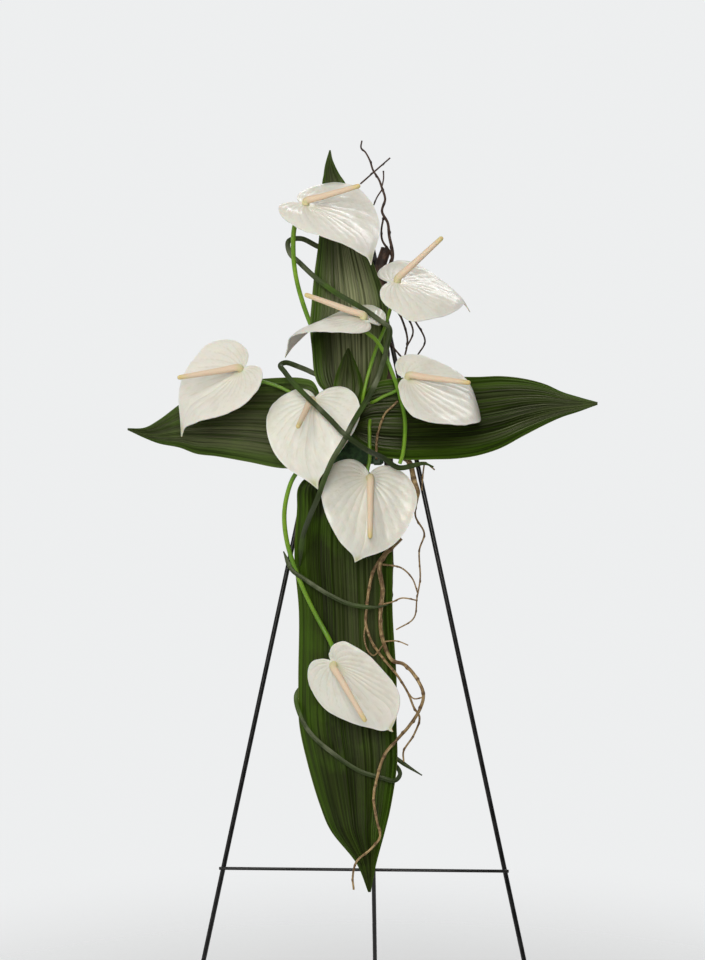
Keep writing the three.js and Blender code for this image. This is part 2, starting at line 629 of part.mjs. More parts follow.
const plateBottom = APEX_HEIGHT - PLATE_BELOW_APEX;
const plateTop = APEX_HEIGHT - PLATE_TOP_BELOW_APEX;
const plateX = (height) => legX(height) + PLATE_OVERHANG;
const plateOutline = new THREE.Shape();
plateOutline.moveTo(-plateX(plateBottom), plateBottom);
plateOutline.lineTo(plateX(plateBottom), plateBottom);
plateOutline.lineTo(plateX(plateTop), plateTop);
plateOutline.lineTo(-plateX(plateTop), plateTop);
const plate = new THREE.ExtrudeGeometry(plateOutline, { depth: PLATE_THICKNESS, bevelEnabled: false });
plate.translate(0, 0, LEG_RADIUS + GAP);
piece(frame, 'apex_plate', plate, black);

const barHalf = legX(CROSSBAR_HEIGHT) + CROSSBAR_OVERHANG;
const barOut = LEG_RADIUS + GAP + CROSSBAR_RADIUS;
const crossbar = tube(
  [[-barHalf, CROSSBAR_HEIGHT, barOut], [barHalf, CROSSBAR_HEIGHT, barOut]], CROSSBAR_RADIUS, 8, 1,
);
piece(frame, 'crossbar', crossbar, black);

// The hinge bar is welded between the front legs, and the back leg's eye turns on it.
const hingeHalf = legX(HINGE_HEIGHT) - LEG_RADIUS - GAP - LEG_RADIUS * slope - 0.1;
const hinge = tube([[-hingeHalf, HINGE_HEIGHT, 0], [hingeHalf, HINGE_HEIGHT, 0]], LEG_RADIUS, 10, 1);
piece(frame, 'hinge_bar', hinge, black);

const back = new THREE.Group();
back.position.y = HINGE_HEIGHT;
back.rotation.x = BACK_LEG_OPENING;
frame.add(back);
const eyeRadius = 2 * LEG_RADIUS + 3 * GAP;
const fallAngle = BACK_LEG_OPENING - LEAN;
const hingeRise = HINGE_HEIGHT * Math.cos(LEAN);
const backLength = (hingeRise - eyeRadius * Math.sin(fallAngle)) / Math.cos(fallAngle);
const shaft = [[0, -backLength + CAP_FLOOR + GAP, -eyeRadius], [0, -8, -eyeRadius]];
const eye = [[0, -12, -eyeRadius], [0, -6, -eyeRadius]];
for (let turn = 180; turn >= -110; turn -= 29) {
  const angle = THREE.MathUtils.degToRad(turn);
  eye.push([0, eyeRadius * Math.sin(angle), eyeRadius * Math.cos(angle)]);
}
const backLeg = fuse([tube(shaft, LEG_RADIUS, 8, 1), tube(eye, LEG_RADIUS, 8, 22)]);
piece(back, 'back_leg', backLeg, black);
const backFoot = at(0, -backLength, -eyeRadius);
piece(back, 'foot_cap_back', trimToFloor(footCap(at(0, 0, -eyeRadius), backFoot), back), rubber);

// Armature: the cross lath lies in the hooks, the upright and the foam are taped in front of it
const lathFront = LATH_BACK + LATH_THICKNESS;
const uprightBack = lathFront + GAP;
const half = LATH_WIDTH / 2;
piece(cross, 'lath_cross', box(
  [-CROSS_LATH_LENGTH / 2, -half, LATH_BACK], [CROSS_LATH_LENGTH / 2, half, lathFront],
), wood);
piece(cross, 'lath_upright', box(
  [-half, UPRIGHT_BOTTOM, uprightBack], [half, UPRIGHT_TOP, uprightBack + LATH_THICKNESS],
), wood);

const tapeLayer = (inset, overrun) => box(
  [TAPE_LEFT - overrun, FOAM.bottom - GAP - inset, LATH_BACK - GAP - inset],
  [TAPE_LEFT + TAPE_WIDTH + overrun, FOAM.top + GAP + inset, FOAM.front + GAP + inset],
);
const tapeRing = cut(tapeLayer(TAPE_THICKNESS, 0), [tapeLayer(0, 1)]);

// Every hole is a little wider than the stem in it.
const stemHoles = blooms.map((bloom) => (
  tube(stemLine(bloom), stemRadius(bloom) + HOLE_CLEARANCE, 6, stemSteps(bloom))
));
const stalkHoles = leaves.map((entry) => tube(entry.stalk, STALK_RADIUS + HOLE_CLEARANCE, 6, 5));
const twigHoles = [willows[1], willows[2]].map((willow) => {
  const [line, start, end] = willow.twigs[0];
  return taper(line, start + HOLE_CLEARANCE, end + HOLE_CLEARANCE, willow.sides, twigSteps(line));
});
const foam = box([FOAM.left, FOAM.bottom, FOAM.back], [FOAM.right, FOAM.top, FOAM.front]);
piece(cross, 'foam_block', cut(foam, [...stemHoles, ...stalkHoles, ...twigHoles]), foamGreen);
piece(cross, 'anchor_tape', cut(tapeRing, [twigHoles[1]]), tapeGreen);

leaves.forEach((entry) => {
  piece(cross, entry.name, cut(leaf(entry), [...stemHoles, twigHoles[1]]), leafGreen);
});
blooms.forEach((bloom) => {
  piece(cross, `${bloom.name}_spathe`, spathe(bloom), white);
  piece(cross, `${bloom.name}_spadix`, spadix(bloom), peach);
  const stem = tube(stemLine(bloom), stemRadius(bloom), 6, stemSteps(bloom));
  piece(cross, `${bloom.name}_stem`, drawBack(stem, bloom.stem.slice(-2), stemRadius(bloom)), stemGreen);
});
strands.forEach(({ name, width, points }) => {
  piece(cross, name, strand(points, width, 2 * points.length), strandGreen);
});
willows.forEach(({ name, bark, sides, twigs }) => {
  const rods = twigs.map(([line, start, end]) => {
    const round = start > 1.5 ? sides : 4;
    return taper(line, start, end, round, twigSteps(line), 0.5);
  });
  const [line, start] = twigs[0];
  drawBack(rods[0], [line[1], line[0]], start);
  piece(cross, name, fuse(rods), bark);
});

export default root;
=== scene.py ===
# %% [markdown]
# ## A standing funeral cross of fresh leaves and flowers
# Four broad dark leaves make the cross. Waxy white blooms, loops of grass and curly willow are
# pushed into a block of foam at its crossing, and the whole cross hangs on a folding wire easel.
# The engineering model of every piece is loaded first, as a fixed frame. Each piece that is made
# here goes exactly where its plain stand-in is, and only adds the surface that the eye expects.

import math

import bpy
import numpy as np
from mathutils import Matrix, Vector


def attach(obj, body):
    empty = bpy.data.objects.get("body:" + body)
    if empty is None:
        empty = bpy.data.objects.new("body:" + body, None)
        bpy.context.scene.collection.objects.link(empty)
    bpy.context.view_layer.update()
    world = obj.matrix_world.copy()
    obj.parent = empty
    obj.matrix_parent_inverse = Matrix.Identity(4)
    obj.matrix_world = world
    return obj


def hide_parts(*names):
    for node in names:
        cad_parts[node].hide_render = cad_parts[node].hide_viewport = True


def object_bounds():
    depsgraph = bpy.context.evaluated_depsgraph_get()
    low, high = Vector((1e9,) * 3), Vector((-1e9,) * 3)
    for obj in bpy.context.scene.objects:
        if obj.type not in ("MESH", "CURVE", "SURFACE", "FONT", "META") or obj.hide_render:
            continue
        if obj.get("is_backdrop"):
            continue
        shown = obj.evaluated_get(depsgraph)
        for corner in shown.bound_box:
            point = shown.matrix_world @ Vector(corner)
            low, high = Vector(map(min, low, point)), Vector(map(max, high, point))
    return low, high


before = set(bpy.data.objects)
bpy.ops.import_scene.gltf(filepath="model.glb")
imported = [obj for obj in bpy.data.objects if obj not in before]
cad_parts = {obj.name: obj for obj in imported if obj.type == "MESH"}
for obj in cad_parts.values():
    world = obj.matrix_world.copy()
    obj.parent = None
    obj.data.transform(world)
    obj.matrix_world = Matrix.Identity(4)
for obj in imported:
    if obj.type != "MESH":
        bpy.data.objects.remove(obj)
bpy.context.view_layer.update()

# %% [markdown]
# ## The axes that the maker works in
# A florist builds the cross flat on a table and then hangs it on the leaning easel. The same is
# done here: places are written in millimetres, flat on the easel's front (x to the right, y up the
# easel, z out to the viewer), and one matrix leans them back. A second one has its zero at the
# crossing of the cross, because that is where every leaf and stem starts.

# %% Axes of the easel and of the cross
MM = 0.001
LEAN = math.radians(6)
DEPTH_CENTRE = 206
CROSSING_HEIGHT = 1109
CROSS_OFFSET = -1.5

leaning = Matrix.Rotation(math.pi / 2 - LEAN, 4, "X")
easel_axes = Matrix.Translation((0, -DEPTH_CENTRE * MM, 0)) @ leaning
cross_axes = easel_axes @ Matrix.Translation((CROSS_OFFSET * MM, CROSSING_HEIGHT * MM, 0))


def in_world(points, axes):
    """Turns places in millimetres on the given axes into metres in the frame."""
    turn = np.array(axes)[:3, :3]
    return np.asarray(points, float) * MM @ turn.T + np.array(axes.translation)


print("crossing of the cross at", [round(x, 3) for x in cross_axes.translation])

# %% [markdown]
# ## The camera
# The picture was taken from a little to the right of the easel, with a portrait lens at about the
# height of a chest, and with the camera a hair off level. The camera is made first so that every
# later choice of size and colour can be judged from the same place.

# %% Camera
VIEW_AZIMUTH = math.radians(3)
VIEW_DISTANCE = 2.634
CAMERA_HEIGHT = 1.34
CAMERA_ROLL = 0.0055
LENS = 80
SENSOR_WIDTH = 36
aim = Vector((-0.0114, -0.15, 1.0343))

bpy.ops.object.camera_add(location=(
    aim.x + math.sin(VIEW_AZIMUTH) * VIEW_DISTANCE,
    aim.y - math.cos(VIEW_AZIMUTH) * VIEW_DISTANCE,
    CAMERA_HEIGHT,
))
camera = bpy.context.object
look = (aim - camera.location).to_track_quat("-Z", "Y").to_matrix()
camera.rotation_euler = (look @ Matrix.Rotation(-CAMERA_ROLL, 3, "Z")).to_euler()
camera.data.lens = LENS
camera.data.sensor_width = SENSOR_WIDTH
bpy.context.scene.camera = camera
print("camera", [round(x, 2) for x in camera.location], "lens", camera.data.lens)

# %% [markdown]
# ## Floor and light
# A plain pale floor and a pale wall of sky stand in for a bright studio. The floor thins out with
# distance, so that it has no far edge. White petals and dark glossy leaves want opposite things: the
# petals need soft light from all round, but a leaf mirrors whatever is in front of it, and a bright
# room would turn it grey. So the room is dim on the camera's side, bright behind, and pale where the
# camera looks straight at it. The key softbox hangs at the upper left, one near the camera fills the
# petals and lays a broad sheen on the leaves, a tall narrow one on the left picks out their ribs, one
# behind gives bright rims, and weak ones on the right and low on the left open the shadows.

# %% Floor and room
FLOOR_SIZE = 14
FLOOR_COLOUR = (0.86, 0.86, 0.86, 1)
FLOOR_SOLID, FLOOR_GONE = 0.45, 1.7
ROOM_DIM, ROOM_BRIGHT = 0.06, 0.6
WALL_COLOUR = (0.85, 0.86, 0.865, 1)


def add_node(tree, kind, **settings):
    node = tree.nodes.new(kind)
    for key, value in settings.items():
        if key in node.inputs:
            node.inputs[key].default_value = value
        else:
            setattr(node, key, value)
    return node


def soft_step(tree, value, low, high, out_low=0.0, out_high=1.0):
    """Goes smoothly from out_low to out_high while the value goes from low to high."""
    node = add_node(tree, "ShaderNodeMapRange", interpolation_type="SMOOTHSTEP")
    tree.links.new(value, node.inputs["Value"])
    sockets = ("From Min", "From Max", "To Min", "To Max")
    for socket, number in zip(sockets, (low, high, out_low, out_high)):
        node.inputs[socket].default_value = number
    return node.outputs["Result"]


bpy.ops.mesh.primitive_plane_add(size=FLOOR_SIZE)
floor = bpy.context.object
floor.name = "floor"
floor_paint = bpy.data.materials.new("floor_paint")
floor_paint.use_nodes = True
tree = floor_paint.node_tree
floor_shader = tree.nodes["Principled BSDF"]
floor_shader.inputs["Base Color"].default_value = FLOOR_COLOUR
floor_shader.inputs["Roughness"].default_value = 0.9
away = add_node(tree, "ShaderNodeVectorMath", operation="LENGTH")
tree.links.new(add_node(tree, "ShaderNodeTexCoord").outputs["Object"], away.inputs[0])
thinning = soft_step(tree, away.outputs["Value"], FLOOR_SOLID, FLOOR_GONE, 1, 0)
tree.links.new(thinning, floor_shader.inputs["Alpha"])
floor.data.materials.append(floor_paint)
floor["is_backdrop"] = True

room = bpy.data.worlds.new("studio")
bpy.context.scene.world = room
room.use_nodes = True
tree = room.node_tree
direction = add_node(tree, "ShaderNodeSeparateXYZ")
tree.links.new(add_node(tree, "ShaderNodeTexCoord").outputs["Generated"], direction.inputs[0])
ray = add_node(tree, "ShaderNodeLightPath")
seen = add_node(tree, "ShaderNodeMix", data_type="RGBA")
seen.inputs[7].default_value = WALL_COLOUR
tree.links.new(ray.outputs["Is Camera Ray"], seen.inputs["Factor"])
depth = soft_step(tree, direction.outputs["Y"], -0.5, 0.7, ROOM_DIM, ROOM_BRIGHT)
tree.links.new(depth, seen.inputs[6])
tree.links.new(seen.outputs[2], tree.nodes["Background"].inputs["Color"])
bpy.context.scene.view_settings.view_transform = "Standard"
print("room:", room.name)

# %% Soft lights
WARM, MILD, WHITE = (1, 0.98, 0.94), (1, 0.98, 0.95), (1, 1, 1)
# Where each light hangs, what it is aimed at, its width and height, its watts and its colour.
LIGHTS = {
    "key": ((-0.8, -2.2, 2.65), (0, -0.2, 1.15), (1.4, 0.9), 22, WARM),
    "front": ((0.1, -3.0, 1.95), (0, -0.2, 1.2), (0.7, 1.0), 35, WARM),
    "strip": ((-1.35, -2.3, 1.6), (0, -0.2, 1.1), (0.5, 1.3), 11, WARM),
    "fill": ((2.4, -0.9, 2.3), (0, -0.2, 1.0), (1.2, 1.6), 5, MILD),
    "rim": ((0.4, 1.8, 2.8), (0, -0.1, 1.1), (2.4, 0.8), 20, WHITE),
    "bounce": ((-1.4, -1.2, 0.5), (0, -0.2, 1.2), (1.2, 0.8), 3, MILD),
}

for name, (place, target, size, power, colour) in LIGHTS.items():
    bpy.ops.object.light_add(type="AREA", location=place)
    light = bpy.context.object
    light.name = name
    light.data.shape = "RECTANGLE"
    light.data.size, light.data.size_y = size
    light.data.energy = power
    light.data.color = colour
    light.rotation_euler = (Vector(target) - Vector(place)).to_track_quat("-Z", "Y").to_euler()
print("lights:", list(LIGHTS))

# %% [markdown]
# ## Smooth lines
# A stem, a twig or the edge of a leaf is drawn through a few given places. A centripetal
# Catmull-Rom spline passes through each of them and never loops between two that are close, so it
# follows a drawn line better than a Bezier curve whose handles would all need setting.

# %% Helpers for smooth lines
def spline(points, t):
    """Places on the smooth line through points, with t running from 0 to 1 over its spans."""
    points = np.asarray(points, float)
    spans = len(points) - 1
    ends = [2 * points[0] - points[1]], [2 * points[-1] - points[-2]]
    points = np.vstack([ends[0], points, ends[1]])
    place = np.clip(t, 0, 1) * spans
    first = np.minimum(place.astype(int), spans - 1)
    w = (place - first)[:, None]
    p0, p1, p2, p3 = (points[first + i] for i in range(4))
    d0, d1, d2 = (np.sqrt(np.linalg.norm(b - a, axis=1, keepdims=True))
                  for a, b in ((p0, p1), (p1, p2), (p2, p3)))
    start = ((p1 - p0) / d0 - (p2 - p0) / (d0 + d1) + (p2 - p1) / d1) * d1
    end = ((p2 - p1) / d1 - (p3 - p1) / (d1 + d2) + (p3 - p2) / d2) * d1
    bend = 3 * (p2 - p1) - 2 * start - end
    return p1 + w * (start + w * (bend + w * (2 * (p1 - p2) + start + end)))


def evenly(points, count):
    """Evenly spaced places along the smooth line, the direction at each, and the line's length."""
    dense = spline(points, np.linspace(0, 1, 40 * len(points)))
    steps = np.linalg.norm(np.diff(dense, axis=0), axis=1)
    run = np.concatenate([[0], np.cumsum(steps)])
    wanted = np.linspace(0, run[-1], count)
    places = np.stack([np.interp(wanted, run, dense[:, i]) for i in range(3)], axis=1)
    directions = np.gradient(places, axis=0)
    directions /= np.linalg.norm(directions, axis=1, keepdims=True)
    return places, directions, run[-1]


def carried_sides(directions):
    """Two directions square to the line at each place, carried along with as little turn as possible."""
    side = np.cross(directions[0], (0.3, 0.2, 1.0))
    sides = []
    for direction in directions:
        side = side - direction * (side @ direction)
        side = side / np.linalg.norm(side)
        sides.append(side)
    sides = np.array(sides)
    return sides, np.cross(directions, sides)


test_line = evenly([(0, 0, 0), (10, 0, 0), (10, 10, 0)], 5)
print("length of a 20 mm corner, rounded by the spline:", round(float(test_line[2]), 1), "mm")

# %% [markdown]
# ## Growing a surface from a flat grid
# Leaves, petals, stems and twigs are all grown skins. Extruding them ring by ring would take
# hundreds of steps, so each starts as one flat grid whose corners are then moved by a rule, as a
# sculptor pulls a sheet of clay. The grid keeps its own UV map, so every material can tell how far
# across and how far along the leaf it is. A rolled-up grid is a rod: its two long edges meet and
# are merged, and its end rows shrink to a point, which closes it.

# %% Helpers that turn a grid into a skin
SOFT_EDGE = math.radians(50)
MERGE_DISTANCE = 0.000002


def note_values(piece, name, values):
    """Keeps one number for each corner, which a material can read."""
    layer = piece.data.attributes.new(name, "FLOAT", "POINT")
    layer.data.foreach_set("value", np.asarray(values, np.float32))


def added(name, primitive, **settings):
    """Adds a primitive with nothing else selected, and names it."""
    bpy.ops.object.select_all(action="DESELECT")
    primitive(**settings)
    piece = bpy.context.object
    piece.name = piece.data.name = name
    return piece


def select_only(*pieces):
    """Selects these pieces alone and makes the first one active."""
    bpy.ops.object.select_all(action="DESELECT")
    for piece in pieces:
        piece.select_set(True)
    bpy.context.view_layer.objects.active = pieces[0]


def shaped_grid(name, across, along, place, axes=cross_axes):
    """Adds a flat grid and moves each corner to place(s, t), with s and t from 0 to 1.

    The rule may also give numbers for each corner, by name, for a material to read.
    """
    grid = bpy.ops.mesh.primitive_grid_add
    skin = added(name, grid, x_subdivisions=across, y_subdivisions=along, size=1)
    flat = np.empty(3 * len(skin.data.vertices))
    skin.data.vertices.foreach_get("co", flat)
    s, t = (flat.reshape(-1, 3)[:, :2] + 0.5).T
    points = place(s, t)
    if isinstance(points, tuple):
        points, noted = points
        for label, values in noted.items():
            note_values(skin, label, values)
    skin.data.vertices.foreach_set("co", in_world(points, axes).ravel())
    skin.data.update()
    return skin


def edit_all(piece, *steps):
    """Runs edit-mode operators on the whole of one piece."""
    select_only(piece)
    bpy.ops.object.mode_set(mode="EDIT")
    bpy.ops.mesh.select_all(action="SELECT")
    for step in steps:
        step()
    bpy.ops.object.mode_set(mode="OBJECT")


def merge_doubles():
    bpy.ops.mesh.remove_doubles(threshold=MERGE_DISTANCE)


def face_outwards():
    bpy.ops.mesh.normals_make_consistent(inside=False)


def thicken(piece, thickness, *finishes):
    """Gives a skin a wall, with one finish all over or one for each of its two faces."""
    for finish in finishes:
        piece.data.materials.append(finish)
    bpy.ops.object.modifier_add(type="SOLIDIFY")
    wall = piece.modifiers[-1]
    wall.thickness = thickness * MM
    wall.offset = 0
    wall.material_offset = len(finishes) - 1
    bpy.ops.object.modifier_apply(modifier=wall.name)
    bpy.ops.object.shade_smooth_by_angle(angle=SOFT_EDGE)


def two_faced(skin, thickness, front, back, towards=(0, 0, 1)):
    """Thickens a skin whose front looks the given way on the cross."""
    overall = sum((face.normal * face.area for face in skin.data.polygons), Vector())
    if overall.dot(cross_axes.to_3x3() @ Vector(towards)) < 0:
        edit_all(skin, bpy.ops.mesh.flip_normals)
    thicken(skin, thickness, front, back)


def rod(name, points, radius, sides, pitch, axes=cross_axes):
    """A closed rod along a smooth line. radius(share, around, run) gives millimetres, and it may
    give a number for the material with them."""
    rows = max(6, int(evenly(points, 8)[2] / pitch))
    places, directions, length = evenly(points, rows - 1)
    side, other = carried_sides(directions)

    def place(s, t):
        row = np.rint(t * rows).astype(int)
        k = np.clip(row - 1, 0, rows - 2)
        around = 2 * math.pi * s
        share = k / (rows - 2)
        size = radius(share, around, share * length)
        size, pattern = size if isinstance(size, tuple) else (size, 0 * size)
        size = np.where((row == 0) | (row == rows), 0, size)
        ring = np.cos(around)[:, None] * side[k] + np.sin(around)[:, None] * other[k]
        return places[k] + size[:, None] * ring, {"pattern": pattern}

    piece = shaped_grid(name, sides, rows, place, axes)
    edit_all(piece, merge_doubles, face_outwards)
    bpy.ops.object.shade_smooth_by_angle(angle=SOFT_EDGE)
    return piece


def joined(name, pieces):
    """Joins several skins into one piece."""
    select_only(*pieces)
    bpy.ops.object.join()
    pieces[0].name = pieces[0].data.name = name
    return pieces[0]


def hand_over(piece, body, slot, *nodes):
    """Says which body a finished piece rides on and hides the nodes it stands for. The slot is not used.
    """
    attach(piece, body)
    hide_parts(*nodes)


def ripples(x, y, seed, waves=7):
    """Soft uneven waves between about -1 and 1, the same on every run."""
    draw = np.random.default_rng(seed)
    total = 0
    for _ in range(waves):
        turn = draw.uniform(0, 2 * math.pi)
        phase = draw.uniform(0, 2 * math.pi)
        size = draw.uniform(0.6, 1.5)
        total = total + np.sin(size * (math.cos(turn) * x + math.sin(turn) * y) + phase)
    return total / math.sqrt(waves * 1.5)


def ramp(x, low, high):
    """0 below low, 1 above high and a soft step between."""
    share = np.clip((x - low) / (high - low), 0, 1)
    return share * share * (3 - 2 * share)


FRONT, BACK = "front_frame", "back_leg"

# %% [markdown]
# ## Effects that several materials share
# Leaf, grass, stem and bark all have lines that run lengthwise and drift a little. Instead of
# drawing them anew in each material they are one shader node group: it stretches a noise along the
# second axis of the UV map and gives fine lines and broad bands, as values from 0 to 1. The second
# group is a patchy mottle in real space, for anything whose colour varies without direction.

# %% Node groups for lines and mottle
def new_group(name, inputs, outputs):
    group = bpy.data.node_groups.new(name, "ShaderNodeTree")
    for socket, kind, value in inputs:
        made = group.interface.new_socket(socket, in_out="INPUT", socket_type=kind)
        if value is not None:
            made.default_value = value
    for socket in outputs:
        group.interface.new_socket(socket, in_out="OUTPUT", socket_type="NodeSocketFloat")
    start = group.nodes.new("NodeGroupInput")
    end = group.nodes.new("NodeGroupOutput")
    return group, start, end


def stretched_noise(group, start, count_socket, share, detail):
    """Noise that changes often across the grid and seldom along it."""
    count = add_node(group, "ShaderNodeMath", operation="MULTIPLY")
    count.inputs[1].default_value = share
    group.links.new(start.outputs[count_socket], count.inputs[0])
    scale = add_node(group, "ShaderNodeCombineXYZ")
    group.links.new(count.outputs[0], scale.inputs["X"])
    group.links.new(start.outputs["Drift"], scale.inputs["Y"])
    stretch = add_node(group, "ShaderNodeVectorMath", operation="MULTIPLY")
    group.links.new(start.outputs["Vector"], stretch.inputs[0])
    group.links.new(scale.outputs[0], stretch.inputs[1])
    noise = add_node(group, "ShaderNodeTexNoise", Scale=1.0, Detail=detail, Roughness=0.6)
    group.links.new(stretch.outputs[0], noise.inputs["Vector"])
    return noise.outputs["Fac"]


lines_group, start, end = new_group(
    "Lengthwise Lines",
    [("Vector", "NodeSocketVector", None), ("Lines", "NodeSocketFloat", 60.0),
     ("Drift", "NodeSocketFloat", 2.0)],
    ["Fine", "Broad"],
)
lines_group.links.new(stretched_noise(lines_group, start, "Lines", 1.0, 2.0), end.inputs["Fine"])
lines_group.links.new(stretched_noise(lines_group, start, "Lines", 0.16, 3.0), end.inputs["Broad"])

mottle_group, start, end = new_group(
    "Mottle",
    [("Vector", "NodeSocketVector", None), ("Scale", "NodeSocketFloat", 60.0)],
    ["Patches", "Specks"],
)
for output, factor, detail in (("Patches", 1.0, 4.0), ("Specks", 9.0, 2.0)):
    size = add_node(mottle_group, "ShaderNodeMath", operation="MULTIPLY")
    size.inputs[1].default_value = factor
    noise = add_node(mottle_group, "ShaderNodeTexNoise", Detail=detail, Roughness=0.55)
    mottle_group.links.new(start.outputs["Scale"], size.inputs[0])
    mottle_group.links.new(start.outputs["Vector"], noise.inputs["Vector"])
    mottle_group.links.new(size.outputs[0], noise.inputs["Scale"])
    mottle_group.links.new(noise.outputs["Fac"], end.inputs[output])
print("groups:", [g.name for g in bpy.data.node_groups])

# %% [markdown]
# ## A small kit for materials
# Each finish below mixes a few colours by masks. Short helpers keep that readable: one places a
# node group with its own values, one spreads a value into a soft mask, one mixes two colours by a
# mask, and one turns a height into the bump that catches the light.

# %% Helpers for materials
class Finish:
    """A material with its tree and its Principled shader at hand."""

    def __init__(self, name, **constants):
        self.material = bpy.data.materials.new(name)
        self.material.use_nodes = True
        self.tree = self.material.node_tree
        self.shader = self.tree.nodes["Principled BSDF"]
        for key, value in constants.items():
            self.shader.inputs[key.replace("_", " ")].default_value = value

    def node(self, kind, **settings):
        return add_node(self.tree, kind, **settings)

    def link(self, source, target):
        self.tree.links.new(source, target)

    def uv(self):
        return self.node("ShaderNodeTexCoord").outputs["UV"]

    def place(self):
        return self.node("ShaderNodeTexCoord").outputs["Object"]

    def value_of(self, name):
        return self.node("ShaderNodeAttribute", attribute_name=name).outputs["Fac"]

    def group(self, group, vector, **values):
        node = self.node("ShaderNodeGroup")
        node.node_tree = group
        self.link(vector, node.inputs["Vector"])
        for key, value in values.items():
            node.inputs[key].default_value = value
        return node.outputs

    def split(self, vector):
        node = self.node("ShaderNodeSeparateXYZ")
        self.link(vector, node.inputs[0])
        return node.outputs["X"], node.outputs["Y"]

    def maths(self, operation, first, second):
        node = self.node("ShaderNodeMath", operation=operation)
        for socket, value in zip(node.inputs, (first, second)):
            if isinstance(value, (int, float)):
                socket.default_value = value
            else:
                self.link(value, socket)
        return node.outputs[0]

    def mask(self, value, low, high, out_low=0.0, out_high=1.0):
        return soft_step(self.tree, value, low, high, out_low, out_high)

    def mix(self, mask, first, second):
        node = self.node("ShaderNodeMix", data_type="RGBA")
        self.link(mask, node.inputs["Factor"])
        for socket, colour in ((node.inputs[6], first), (node.inputs[7], second)):
            if isinstance(colour, tuple):
                socket.default_value = (*colour, 1)
            else:
                self.link(colour, socket)
        return node.outputs[2]

    def bump(self, height, depth, strength=1.0, below=None):
        node = self.node("ShaderNodeBump", Distance=depth * MM, Strength=strength)
        self.link(height, node.inputs["Height"])
        if below is not None:
            self.link(below, node.inputs["Normal"])
        return node.outputs["Normal"]

    def paint(self, colour=None, roughness=None, normal=None):
        for source, socket in ((colour, "Base Color"), (roughness, "Roughness"), (normal, "Normal")):
            if source is not None:
                self.link(source, self.shader.inputs[socket])
        return self.material


print("finish kit ready")

# %% [markdown]
# ## Finish of the broad leaves
# An aspidistra leaf is a dark, glossy green with dozens of fine veins side by side. Light skims off
# them in pale grey streaks, and the blade is a clearer green towards its edges, where it is thin. The
# colour is mixed by broad bands and patches, then by the distance from the edge, then by fine lines.
# On top, a pale grey sheen is painted on in streaks along the ribs, as strong as a value that each
# leaf brings along. The under side is duller and paler.

# %% Leaf materials
def leaf_finish(name, deep, mid, clear, roughness, gloss):
    finish = Finish(name, Specular_IOR_Level=gloss, Specular_Tint=(1, 1, 0.7, 1))
    across, _ = finish.split(finish.uv())
    ribs = finish.group(lines_group, finish.uv(), Lines=30.0, Drift=1.6)
    threads = finish.group(lines_group, finish.uv(), Lines=95.0, Drift=3.0)
    mottle = finish.group(mottle_group, finish.place(), Scale=16.0)
    colour = finish.mix(finish.mask(ribs["Broad"], 0.4, 0.6), deep, mid)
    colour = finish.mix(finish.mask(mottle["Patches"], 0.52, 0.72, 0, 0.5), colour, clear)
    edge = finish.maths("ABSOLUTE", finish.maths("SUBTRACT", across, 0.5), 0.0)
    colour = finish.mix(finish.mask(edge, 0.28, 0.5, 0, 0.8), colour, clear)
    colour = finish.mix(finish.mask(ribs["Fine"], 0.40, 0.60, 0.7, 0), colour, deep)
    colour = finish.mix(finish.mask(threads["Fine"], 0.5, 0.64, 0, 0.35), colour, clear)
    colour = finish.mix(finish.mask(edge, 0.490, 0.5, 0, 0.6), colour, (0.16, 0.17, 0.04))
    # Painted sheen: a pale grey-green laid on in streaks along the ribs, as strong as the leaf's value.
    streaks = finish.mask(ribs["Fine"], 0.38, 0.58, 0.15, 1.0)
    painted_sheen_mask = finish.maths("MULTIPLY", finish.value_of("wax"), streaks)
    colour = finish.mix(painted_sheen_mask, colour, (0.33, 0.35, 0.19))
    rough = finish.mask(ribs["Fine"], 0.35, 0.65, roughness - 0.06, roughness + 0.12)
    normal = finish.bump(threads["Fine"], 0.15, 0.7)
    normal = finish.bump(ribs["Fine"], 0.4, 0.9, normal)
    return finish.paint(colour, rough, normal)


leaf_front = leaf_finish("leaf_upper_side", (0.006, 0.010, 0.0006), (0.024, 0.040, 0.0025),
                         (0.05, 0.115, 0.003), 0.34, 0.21)
leaf_back = leaf_finish("leaf_under_side", (0.030, 0.055, 0.012), (0.050, 0.085, 0.02),
                        (0.065, 0.12, 0.025), 0.55, 0.3)
print("leaf finishes:", leaf_front.name, leaf_back.name)

# %% [markdown]
# ## The broad leaves
# Each leaf is drawn by its two edges, from the tip to the base, with how far it stands out at each
# place. Between the edges the blade is gently pleated along its length and arched forward in the
# middle, which is what keeps a real leaf stiff. Fine ribs and a slow wave along the rims come on
# top. The stalk is a short rod that turns back into the foam.

# %% Leaves
LEAF_THICKNESS = 0.9
STALK_RADIUS = 2
FULL_WIDTH = 60
PLEAT_DEPTH = 0.8
RIB_COUNT, RIB_HEIGHT = 24, 0.17
RIM_WAVE = 1.1
